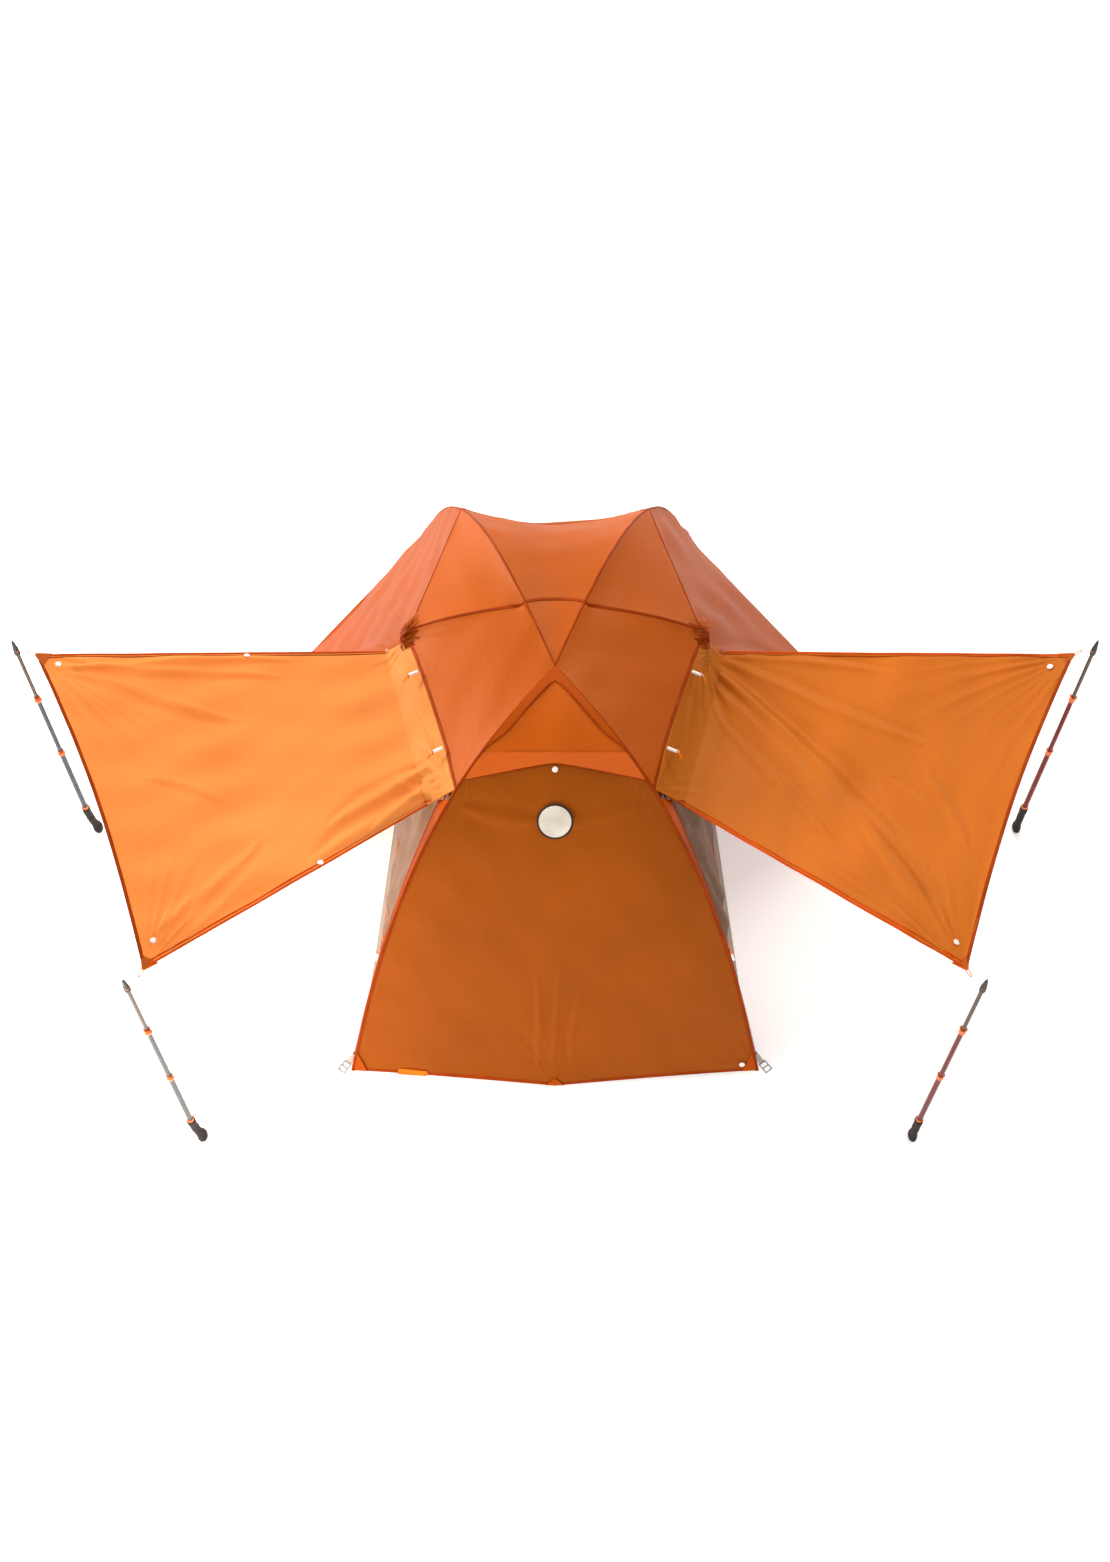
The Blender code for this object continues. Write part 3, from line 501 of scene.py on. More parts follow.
class Piece:
    """One visible piece, gathered from closed sweeps."""

    def __init__(self, name):
        self.name = name
        self.vertices, self.faces, self.uvs, self.marks, self.names = [], [], [], [], []

    def sweep(self, rows, material, capped=True):
        """rows is (along, round, 3): rings joined in order. UV is metres along, share round."""
        rows = np.asarray(rows, float)
        along, round_count = rows.shape[:2]
        if material not in self.names:
            self.names.append(material)
        mark = self.names.index(material)
        base = len(self.vertices)
        run = lengths(rows.mean(axis=1))
        self.vertices.extend(map(tuple, rows.reshape(-1, 3)))
        for i in range(along - 1):
            for j in range(round_count):
                k = (j + 1) % round_count
                a, b = base + i * round_count, base + (i + 1) * round_count
                self.faces.append((a + j, a + k, b + k, b + j))
                low, high = j / round_count, (j + 1) / round_count
                self.uvs.append(((run[i], low), (run[i], high), (run[i + 1], high),
                                 (run[i + 1], low)))
                self.marks.append(mark)
        if capped:
            for i, order in ((0, 1), (along - 1, -1)):
                ring = [base + i * round_count + j for j in range(round_count)][::-order]
                self.faces.append(tuple(ring))
                self.uvs.append(tuple((run[i], 0.5) for _ in ring))
                self.marks.append(mark)
    def tube(self, points, radius, material, sides):
        """A round bar along points; radius may change along it."""
        points = np.asarray(points, float)
        tangent = unit(np.gradient(points, axis=0))
        radii = np.broadcast_to(np.asarray(radius, float), len(points))
        across = np.zeros_like(points)
        guess = unit(np.cross(tangent[0], vec(0.31, 0.17, 0.93)))
        for i, direction in enumerate(tangent):
            guess = unit(guess - direction * (guess @ direction))
            across[i] = guess
        other = np.cross(tangent, across)
        angles = turn(sides)
        rings = (np.cos(angles)[None, :, None] * across[:, None]
                 + np.sin(angles)[None, :, None] * other[:, None])
        self.sweep(points[:, None] + rings * radii[:, None, None], material)

    def band(self, points, across, normal, width, thickness, material):
        """A flat strap centred on points, thickness above them."""
        half = width / 2.0
        section = [(-1.0, 0.0), (-1.0, 0.55), (-0.82, 1.0), (0.0, 1.0), (0.82, 1.0), (1.0, 0.55),
                   (1.0, 0.0), (0.0, 0.0)]
        across, normal = np.broadcast_arrays(across, normal)
        rows = np.stack([points + across * half * a + normal * thickness * b
                         for a, b in section], 1)
        self.sweep(rows, material)

    def lathe(self, profile, centre, axis, material, sides=28, warp=None):
        """(radius, height) pairs turned about axis at centre. warp(height) gives two widths and
        a shift."""
        axis = unit(np.asarray(axis, float))
        guess = vec(0.0, 1.0, 0.0) if abs(axis[1]) < 0.9 else vec(1.0, 0.0, 0.0)
        side = unit(np.cross(axis, guess))
        front = np.cross(axis, side)
        angles = turn(sides)
        rows = []
        for radius, height in profile:
            wide, deep, shift = warp(height) if warp else (1.0, 1.0, np.zeros(3))
            radius = max(radius, 1e-5)
            rows.append(centre + axis * height + shift
                        + radius * (np.cos(angles)[:, None] * side * wide
                                    + np.sin(angles)[:, None] * front * deep))
        self.sweep(rows, material)

    def make(self, body, slot, replaces=(), sharp=35.0):
        mesh = bpy.data.meshes.new(self.name)
        mesh.from_pydata(self.vertices, [], self.faces)
        layer = mesh.uv_layers.new(name="UVMap")
        layer.data.foreach_set("uv", np.concatenate([np.asarray(u, float).ravel()
                                                     for u in self.uvs]))
        mesh.polygons.foreach_set("material_index", self.marks)
        for name in self.names:
            mesh.materials.append(MATERIALS[name])
        work = bmesh.new()
        work.from_mesh(mesh)
        bmesh.ops.remove_doubles(work, verts=work.verts, dist=2e-5)
        bmesh.ops.recalc_face_normals(work, faces=work.faces)
        work.to_mesh(mesh)
        work.free()
        mesh.shade_smooth()
        mesh.set_sharp_from_angle(angle=math.radians(sharp))
        piece = add_object(self.name, mesh)
        attach(piece, body, replaces)
        return piece


class Panel:
    """A sheet of cloth ruled between two lines, with folds pressed into it.

    u runs along the lines, v from the first to the second. start and end give the sheet's share
    of the lines for each v.
    """

    def __init__(self, first, second, spacing, side=1, sag=0.0, hollow=0.0, start=0.0, end=1.0,
                 edge=(0.0, 1.0), pull=None):
        length = 0.5 * (lengths(first)[-1] + lengths(second)[-1])
        share = np.linspace(0.0, 1.0, 40)
        widths = np.linalg.norm(read(second, share) - read(first, share), axis=1)
        across = max(int(widths.max() / spacing), 4)
        v = np.linspace(edge[0], edge[1], across + 1)
        low = start(v) if callable(start) else np.full_like(v, start)
        high = end(v) if callable(end) else np.full_like(v, end)
        along = max(int(length * (high - low).mean() / spacing), 4)
        self.u = np.linspace(0.0, 1.0, along + 1)[:, None] * np.ones_like(v)
        self.v = np.ones((along + 1, 1)) * v
        share = low + (high - low) * self.u
        reach = 1.0 - hollow / length * np.sin(np.pi * self.v) * share ** 3
        a, b = read(first, share * reach), read(second, share * reach)
        points = a + (b - a) * self.v[..., None]
        width = np.linalg.norm(b - a, axis=-1)
        self.x, self.y = (self.v - 0.5) * width, share * reach * length
        self.normal = self.normals(points)
        self.flip = np.mean(np.sum(self.normal * (points - INSIDE), -1)) < 0.0
        if self.flip:
            self.normal = -self.normal
        bulge = sag * np.sin(np.pi * share) * np.sin(np.pi * self.v)
        points = points - self.normal * bulge[..., None]
        if pull is not None:
            points = points + pull(share, self.v)
        self.points, self.side = points, side
        self.face_out()
        self.edge_far = np.minimum(np.minimum(self.u, 1.0 - self.u) * length,
                                   np.minimum(self.v - edge[0], edge[1] - self.v) * width)

    def lead_in(self, line, rows):
        """Carries the cloth on from its start to a line with as many points as its columns."""
        share = np.linspace(0.0, 1.0, rows + 1)[:-1, None, None]
        share_v = (self.v[0] - self.v[0, 0]) / (self.v[0, -1] - self.v[0, 0])
        first = read(line, share_v)
        extra = first + (self.points[0] - first) * share
        back = np.linalg.norm(self.points[0] - first, axis=-1) * (1.0 - share[..., 0])
        self.points = np.concatenate([extra, self.points])
        self.x = np.concatenate([self.x[:1] * np.ones((rows, 1)), self.x])
        self.y = np.concatenate([self.y[:1] - back, self.y])
        self.v = np.ones((len(self.points), 1)) * self.v[0]
        self.u = np.linspace(0.0, 1.0, len(self.points))[:, None] * np.ones_like(self.v)
        ends = np.minimum(self.y - self.y[0], self.y[-1] - self.y)
        sides = np.minimum(self.x - self.x[:, :1], self.x[:, -1:] - self.x)
        self.edge_far = np.minimum(ends, sides)
        for _ in range(60):
            p = self.points
            p[1:rows + 8, 1:-1] = 0.5 * (p[:rows + 7, 1:-1] + p[2:rows + 9, 1:-1])
        self.face_out()

    def face_out(self):
        """Works the normals out again, all on the outside of the tent."""
        self.normal = self.normals(self.points) * (-1.0 if self.flip else 1.0)

    @staticmethod
    def normals(points):
        along = np.gradient(points, axis=0)
        across = np.gradient(points, axis=1)
        normal = np.cross(along, across)
        size = np.linalg.norm(normal, axis=-1, keepdims=True)
        mean = unit(normal.sum(axis=(0, 1)))
        return np.where(size > 1e-12, normal / np.maximum(size, 1e-12), mean)

    def relax(self, times):
        """Lets the inside settle between its edges, like stretched cloth."""
        p = self.points
        for _ in range(times):
            p[1:-1, 1:-1] = 0.25 * (p[:-2, 1:-1] + p[2:, 1:-1] + p[1:-1, :-2] + p[1:-1, 2:])
        self.face_out()

    def sample(self, u, v):
        """Points of the sheet at places u, v, each 0 to 1 over the grid."""
        rows, columns = self.u.shape
        x, y = np.clip(u, 0, 1) * (rows - 1), np.clip(v, 0, 1) * (columns - 1)
        i, j = np.minimum(x.astype(int), rows - 2), np.minimum(y.astype(int), columns - 2)
        a, b = (x - i)[:, None], (y - j)[:, None]
        out = []
        for field in (self.points, self.normal):
            low = field[i, j] * (1 - b) + field[i, j + 1] * b
            high = field[i + 1, j] * (1 - b) + field[i + 1, j + 1] * b
            out.append(low * (1 - a) + high * a)
        return out[0], unit(out[1])

    def spot(self, u, v):
        i = int(round(u * (self.u.shape[0] - 1)))
        j = int(round(v * (self.u.shape[1] - 1)))
        return i, j

    def fan(self, rng, u, v, reach, depth, count):
        """Folds that spread from a place and die out at reach."""
        i, j = self.spot(u, v)
        dx, dy = self.x - self.x[i, j], self.y - self.y[i, j]
        r, angle = np.hypot(dx, dy), np.arctan2(dy, dx)
        wave = np.zeros_like(r)
        for _ in range(3):
            k = count * rng.uniform(0.75, 1.25)
            wobble = rng.uniform(0.2, 0.6) * np.sin(r / reach * rng.uniform(3.0, 6.0)
                                                    + rng.uniform(0, 6.3))
            crest = 1.0 - np.abs(np.sin(k * angle + wobble + rng.uniform(0, 6.3)))
            strength = 0.55 + 0.45 * np.sin(angle * rng.uniform(2, 6) + rng.uniform(0, 6.3))
            wave += crest ** 1.7 * strength
        envelope = np.minimum(r / (0.28 * reach), 1.0) * np.exp(-(r / reach) ** 1.6)
        return depth * wave * envelope

    def crease(self, rng, u0, v0, u1, v1, width, tall):
        """One fold from place to place, with a shallow valley beside it."""
        (i, j), (m, n) = self.spot(u0, v0), self.spot(u1, v1)
        ax, ay, bx, by = self.x[i, j], self.y[i, j], self.x[m, n], self.y[m, n]
        span = math.hypot(bx - ax, by - ay)
        t = ((self.x - ax) * (bx - ax) + (self.y - ay) * (by - ay)) / span ** 2
        off = ((self.x - ax) * (by - ay) - (self.y - ay) * (bx - ax)) / span
        off = off + 0.012 * np.sin(t * rng.uniform(3, 6) + rng.uniform(0, 6.3))
        spread = width * (0.45 + 1.1 * np.sin(np.pi * np.clip(t, 0, 1)))
        along = smooth_step(t / 0.18) * smooth_step((1.0 - t) / 0.25)
        return tall * along * (np.exp(-(off / spread) ** 2)
                               - 0.6 * np.exp(-((off - 1.9 * spread) / spread) ** 2))

    def pleats(self, rng, wavelength, depth, lean):
        """Loose waves right across the sheet."""
        run = self.y + lean * self.x
        height = 0.0
        for share in (1.0, 0.55):
            size = wavelength * (0.7 + share * 0.5)
            warp = 0.25 * wavelength * np.sin(2 * np.pi * self.v + rng.uniform(0, 6.3))
            height += depth * share * 0.6 * np.sin(2 * np.pi * (run + warp) / size
                                                   + rng.uniform(0, 6.3))
        return height

    def fold(self, folds, seed, waves=0.0012, keep_edges=1.0):
        """Presses in folds, each the name of a kind above and its values, over faint waves."""
        rng = np.random.default_rng(seed)
        kinds = {"fan": self.fan, "crease": self.crease, "pleats": self.pleats}
        height = np.zeros_like(self.x)
        for _ in range(7):
            angle, size = rng.uniform(0, np.pi), rng.uniform(0.14, 0.42)
            phase = rng.uniform(0, 2 * np.pi)
            run = self.x * np.cos(angle) + self.y * np.sin(angle)
            height += waves / 2.6 * np.sin(2 * np.pi * run / size + phase)
        for kind, *values in folds:
            height += kinds[kind](rng, *values)
        mask = smooth_step(self.edge_far / 0.022)
        mask = mask * keep_edges + (1.0 - keep_edges)
        self.points = self.points + self.normal * (FOLD_SCALE * height * mask)[..., None]
        self.face_out()

    def area(self):
        a = self.points[:-1, :-1]
        one = np.cross(self.points[1:, :-1] - a, self.points[1:, 1:] - a)
        two = np.cross(self.points[1:, 1:] - a, self.points[:-1, 1:] - a)
        return 0.5 * (np.linalg.norm(one, axis=-1).sum() + np.linalg.norm(two, axis=-1).sum())

    def cut(self):
        """Width and length of the smallest rectangle of cloth the sheet is cut from."""
        width = max(lengths(self.points[i])[-1] for i in range(0, self.points.shape[0], 4))
        length = max(lengths(self.points[:, j])[-1] for j in range(0, self.points.shape[1], 4))
        return width, length

    def make(self, name, body, material, replaces, slot, held="stretched", rests_on=(), lift=0.0):
        points = mirror(self.points + self.normal * lift, self.side)
        rows, columns = points.shape[:2]
        index = np.arange(rows * columns).reshape(rows, columns)
        loops = np.stack([index[:-1, :-1], index[:-1, 1:], index[1:, 1:], index[1:, :-1]], -1)
        if self.flip == (self.side > 0):
            loops = loops[..., ::-1]
        loops = loops.reshape(-1, 4)
        mesh = bpy.data.meshes.new(name)
        mesh.from_pydata(points.reshape(-1, 3).tolist(), [], loops.tolist())
        flat = np.stack([self.x * self.side, self.y], -1).reshape(-1, 2)
        mesh.uv_layers.new(name="UVMap").data.foreach_set("uv", flat[loops.ravel()].ravel())
        mesh.materials.append(MATERIALS[material])
        work = bmesh.new()
        work.from_mesh(mesh)
        bmesh.ops.remove_doubles(work, verts=work.verts, dist=1e-5)
        bmesh.ops.dissolve_degenerate(work, dist=1e-6, edges=work.edges)
        loose = [v for v in work.verts if not v.link_faces]
        bmesh.ops.delete(work, geom=loose, context="VERTS")
        work.to_mesh(mesh)
        work.free()
        mesh.shade_smooth()
        piece = add_object(name, mesh)
        thicken(piece, CLOTH_THICKNESS)
        attach(piece, body, replaces)
        width, length = self.cut()
        if self.area() < 0.31 * width * length:
            # A slim taper is cut nested with its mirror image, which halves its rectangle.
            width = self.area() / (0.5 * length)
        flat = (round(width, 3), round(length, 3))
        return piece

    def border(self, which):
        """An edge's points, the way into the sheet, and the outward normal."""
        rows = {"first": (np.s_[:, 0], np.s_[:, 2]), "second": (np.s_[:, -1], np.s_[:, -3]),
                "start": (np.s_[0], np.s_[2]), "end": (np.s_[-1], np.s_[-3])}
        edge, inner = rows[which]
        points = self.points[edge]
        inward = unit(self.points[inner] - points)
        normal = unit(self.normal[inner])
        return mirror(points, self.side), mirror(inward, self.side), mirror(normal, self.side)

    def at(self, u, v):
        """A point of the sheet with its normal and its direction along u."""
        i, j = self.spot(u, v)
        after = self.points[min(i + 1, self.points.shape[0] - 1), j]
        before = self.points[max(i - 1, 0), j]
        return (mirror(self.points[i, j], self.side), mirror(self.normal[i, j], self.side),
                mirror(unit(after - before), self.side))


def hem(piece, panel, which, width, material, lift=0.0, thickness=TAPE_THICKNESS, inset=0.0,
        part=(0.0, 1.0)):
    """A tape lying on a sheet's edge, on both faces of it."""
    points, inward, normal = panel.border(which)
    count = len(points)
    low, high = int(part[0] * (count - 1)), int(part[1] * (count - 1)) + 1
    points, inward, normal = points[low:high], inward[low:high], normal[low:high]
    base = points + inward * (inset - 0.0008)
    top, under = normal * (lift + thickness), normal * (lift - thickness)
    section = [base + under, base + inward * width + under * 0.9, base + inward * width + top * 0.9,
               base + inward * width * 0.9 + top * 1.15, base + inward * width * 0.5 + top * 1.25,
               base + inward * width * 0.1 + top * 1.15, base + top * 0.9]
    piece.sweep(np.stack(section, 1), material)


def seam(piece, line, first, second, width):
    """A tape folded over the line where two sheets meet. first and second are (panel, edge)."""
    ways = []
    for panel, which in (first, second):
        points, inward, normal = panel.border(which)
        nearest = np.argmin(np.linalg.norm(line[:, None] - points[None], axis=-1), axis=1)
        ways.append((inward[nearest], normal[nearest]))
    (way_a, normal_a), (way_b, normal_b) = ways
    middle = unit(normal_a + normal_b)
    half, thickness = width / 2.0, TAPE_THICKNESS
    section = [line + way_a * half - normal_a * thickness,
               line + way_a * half + normal_a * thickness,
               line + way_a * half * 0.55 + normal_a * thickness * 1.5,
               line + middle * thickness * 1.9,
               line + way_b * half * 0.55 + normal_b * thickness * 1.5,
               line + way_b * half + normal_b * thickness,
               line + way_b * half - normal_b * thickness,
               line - middle * thickness * 1.2]
    piece.sweep(np.stack(section, 1), "binding")


# ---------------------------------------------------------------- fly
PANELS = {}
HEAD_LINE = head_ridge(np.linspace(1.0, 0.0, HEAD_STEPS))


def head_share(t):
    """The share of the head ridge's length, from the hub, at place t of the leg."""
    run = lengths(HEAD_LINE)
    return np.interp(1.0 - t, np.linspace(0.0, 1.0, HEAD_STEPS), run) / run[-1]


def hem_share(v):
    """The vent's hem rises to a blunt peak in the middle."""
    side, peak = head_share(VENT_T), head_share(VENT_PEAK_T)
    return side + (peak - side) * (1.0 - np.abs(2.0 * v - 1.0) ** 1.25)


def saddle(share, v):
    return (share ** 2 * np.sin(np.pi * v))[..., None] * SADDLE_DIP


def peg_pull(share, v):
    """The middle of the head wall's hem is pulled out to a peg."""
    amount = np.clip((share - PEG_PULL_START) / (1.0 - PEG_PULL_START), 0.0, 1.0) ** 2
    return (amount * (1.0 - np.abs(2.0 * v - 1.0)) ** 1.2)[..., None] * PEG_PULL


def upward(grid):
    normal = Panel.normals(grid)
    return normal * np.sign(normal[..., 2].sum())


def corner_fans(u, reach, depth, count):
    """The same fan of folds from both corners at one end of a sheet."""
    return [("fan", u, v, reach, depth, count) for v in (0.0, 1.0)]


def build_head_end():
    """The vent panel and the head wall, with the double cloth round the vent's opening."""
    right, left = HEAD_LINE, mirror(HEAD_LINE, -1)
    vent = Panel(left, right, 0.008, start=HUB_START, end=hem_share)
    vent.fold(corner_fans(1.0, 0.10, 0.0010, 9) + [("fan", 0.0, 0.5, 0.10, 0.0006, 7)], 11,
              waves=0.0010)
    vent.make("fly_vent_cloth", "root", "vent", ["fly_vent"], "fly_fabric",
              rests_on=["leg_head_left", "leg_head_right"])
    wall = Panel(left, right, 0.008, start=lambda v: hem_share(v) - WALL_TUCK, sag=0.004,
                 pull=peg_pull)
    wall.fold([("fan", 1.0, 0.5, 0.20, 0.0012, 13), ("fan", 1.0, 0.0, 0.16, 0.0020, 12),
               ("fan", 1.0, 1.0, 0.16, 0.0020, 12), ("fan", 0.0, 0.02, 0.12, 0.0012, 9),
               ("fan", 0.0, 0.98, 0.12, 0.0012, 9),
               ("crease", 0.98, 0.46, 0.62, 0.44, 0.007, 0.0014),
               ("crease", 0.98, 0.54, 0.66, 0.57, 0.007, 0.0012),
               ("crease", 0.99, 0.50, 0.58, 0.50, 0.006, 0.0010),
               ("crease", 0.10, 0.05, 0.19, 0.50, 0.016, 0.0024),
               ("crease", 0.19, 0.50, 0.10, 0.95, 0.016, 0.0024)], 12, waves=0.0008)
    wall.make("fly_head_wall_cloth", "root", "wall", ["fly_head_wall"], "wall_fabric",
              lift=WALL_LIFT, rests_on=["leg_head_left", "leg_head_right"])
    PANELS["vent"], PANELS["wall"] = vent, wall

    # Double cloth round the vent's opening: two arms under a rounded inner corner.
    total = lengths(HEAD_LINE)[-1]
    band_top = head_share(BAND_TOP_T)
    apex, bend = 0.074, 0.018
    grids = {-1: [], 1: []}
    band_end = band_top + 0.012
    for share in np.linspace(HUB_START, band_end, 60):
        a, b = read(left, np.array([share])), read(right, np.array([share]))
        half = np.linalg.norm(b - a) / 2.0
        down = share * total
        inner = 0.0
        if down > apex:
            inner = half / down * math.sqrt((down - apex + bend) ** 2 - bend ** 2)
        fade = float(smooth_step((band_end - share) / 0.07))
        inner = (half - (half - inner) * max(fade, 0.10)) / max(half, 1e-6)
        for sign, rows in grids.items():
            v = 0.5 + sign * np.linspace(min(inner, 0.97), 0.99, 9) / 2.0
            rows.append(a + (b - a) * v[:, None])
    for sign, name in SIDES.items():
        grid = np.array(grids[sign])
        normal = upward(grid)
        piece = Piece(f"vent_border_{name}")
        ring = np.concatenate([grid + normal * 0.0032, (grid + normal * 0.0014)[:, ::-1]], axis=1)
        piece.sweep(ring, "band")
        direction = unit(grid[12:, 1] - grid[12:, 0])
        piece.band(grid[12:, 0] + normal[12:, 0] * 0.0030 + direction * 0.003, direction,
                   normal[12:, 0], 0.007, 0.0012, "binding")
        piece.make("root", "fly_fabric")

    trim = Piece("head_wall_trim")
    hem(trim, vent, "end", 0.008, "binding", lift=0.0004)
    hem(trim, wall, "end", 0.013, "binding", lift=WALL_LIFT)
    trim.make("root", "fly_fabric")

    v = np.linspace(0.015, 0.985, 60)
    rows = []
    for k in np.linspace(0.0, 1.0, 7):
        share = band_top + (hem_share(v) - 0.002 - band_top) * k
        p, q = read(left, share), read(right, share)
        rows.append(p + (q - p) * v[:, None])
    grid = np.array(rows).transpose(1, 0, 2)
    normal = upward(grid)
    below = Piece("vent_hem_band")
    below.sweep(np.concatenate([grid + normal * 0.0026, (grid + normal * 0.0012)[:, ::-1]], 1),
                "hem_band")
    below.make("root", "fly_fabric")


def door_seam(v):
    """Where the roof ends and the door's cloth begins, as a share of the roof's side lines."""
    return np.interp(v, [0.0, 0.14, 0.245, 0.485, 0.73, 0.82, 0.93, 1.0],
                     [0.803, 0.810, 0.812, 0.833, 0.852, 0.866, 0.887, 0.897])


def build_roof():
    """The roof's middle sheet and the foot wall below it."""
    right = foot_ridge(np.linspace(1.0, RIDGE_SEAM_T, 120))
    centre = Panel(right, mirror(right, -1), 0.010, start=HUB_START, sag=0.010, pull=saddle)
    centre.fold(corner_fans(1.0, 0.16, 0.0014, 9) + [("fan", 0.0, 0.5, 0.12, 0.0006, 7)], 21)
    centre.make("fly_roof_centre_cloth", "root", "fly", ["fly_roof_centre"], "fly_fabric",
                rests_on=["leg_foot_left", "leg_foot_right"])
    low = foot_ridge(np.linspace(RIDGE_SEAM_T, 0.0, 80))
    foot = Panel(low, mirror(low, -1), 0.011, sag=0.060, pull=lambda u, v: saddle(1.0 - u, v))
    foot.fold([*corner_fans(1.0, 0.22, 0.0024, 12), ("fan", 1.0, 0.5, 0.20, 0.0018, 11),
               *corner_fans(0.0, 0.2, 0.0016, 9)], 22, waves=0.0024)
    foot.make("fly_foot_wall_cloth", "root", "fly", ["fly_foot_wall"], "fly_fabric",
              rests_on=["leg_foot_left", "leg_foot_right"])
    PANELS["centre"], PANELS["foot"] = centre, foot
    trim = Piece("foot_wall_trim")
    hem(trim, foot, "end", 0.012, "binding")
    seam(trim, centre.border("end")[0], (centre, "end"), (foot, "start"), 0.012)
    trim.make("root", "fly_fabric")


def build_side_sheets():
    """Per side: roof, rear roof, vestibule and the strip beside the head wall."""

    for side, name in SIDES.items():
        near_edge = np.concatenate([head_ridge(np.linspace(1.0, STRIP_TOP_T, 90)),
                                    DOOR_TOP_NEAR[None]])
        far_edge = np.concatenate([foot_ridge(np.linspace(1.0, BROW_T, 30)), brow_edge()[1:],
                                   DOOR_TOP_FAR[None]])
        roof = Panel(near_edge, far_edge, 0.009, side, sag=0.010, start=HUB_START, end=door_seam)
        roof.relax(500)
        roof.fold([("fan", 1.0, 1.0, 0.13, 0.0024, 15), ("fan", 1.0, 0.0, 0.12, 0.0014, 11),
                   ("fan", 0.0, 0.5, 0.10, 0.0006, 7)], 30 + side, waves=0.0010)
        roof.make(f"fly_roof_side_{name}_cloth", "root", "fly", [f"fly_roof_side_{name}"],
                  "fly_fabric", rests_on=[f"leg_head_{name}", "brow_pole"])
        rear = Panel(brow_edge(), foot_ridge(np.linspace(BROW_T, RIDGE_SEAM_T, 90)), 0.009, side,
                     sag=0.010, start=0.01)
        rear.relax(300)
        rear.fold([("fan", 1.0, 0.0, 0.10, 0.0024, 14), ("fan", 1.0, 1.0, 0.12, 0.0012, 9)],
                  40 + side, waves=0.0010)
        rear.make(f"fly_roof_rear_{name}_cloth", "root", "fly", [f"fly_roof_rear_{name}"],
                  "fly_fabric", rests_on=["brow_pole", f"leg_foot_{name}"])
        outer = np.concatenate([brow_edge()[-1:], DOOR_TOP_FAR[None], STAKE_POINT[None]])
        low = foot_ridge(np.linspace(RIDGE_SEAM_T, 0.0, 80))
        porch = Panel(outer, low, 0.010, side, sag=0.030)
        porch.fold([("fan", 0.0, 0.0, 0.16, 0.0028, 14), ("fan", 0.10, 0.0, 0.16, 0.0030, 14),
                    ("fan", 1.0, 0.0, 0.22, 0.0030, 11), ("fan", 1.0, 1.0, 0.18, 0.0022, 11),
                    ("crease", 0.10, 0.02, 0.80, 0.35, 0.020, 0.0045),
                    ("crease", 0.08, 0.06, 0.60, 0.60, 0.018, 0.0030)], 50 + side, waves=0.003)
        porch.make(f"fly_vestibule_{name}_cloth", "root", "pink", [f"fly_vestibule_{name}"],
                   "fly_fabric", rests_on=[f"leg_foot_{name}", "brow_pole"])
        ridge_line = head_ridge(np.linspace(STRIP_TOP_T, 0.0, 120))
        strip = Panel(ridge_line, strip_edge(120), 0.006, side, end=0.985)
        strip.fold([], 60 + side, waves=0.0004)
        strip.make(f"fly_side_strip_{name}_cloth", "root", "band", [f"fly_side_strip_{name}"],
                   "fly_fabric", rests_on=[f"leg_head_{name}"])
        PANELS.update({f"roof_{name}": roof, f"rear_{name}": rear, f"porch_{name}": porch,
                       f"strip_{name}": strip})


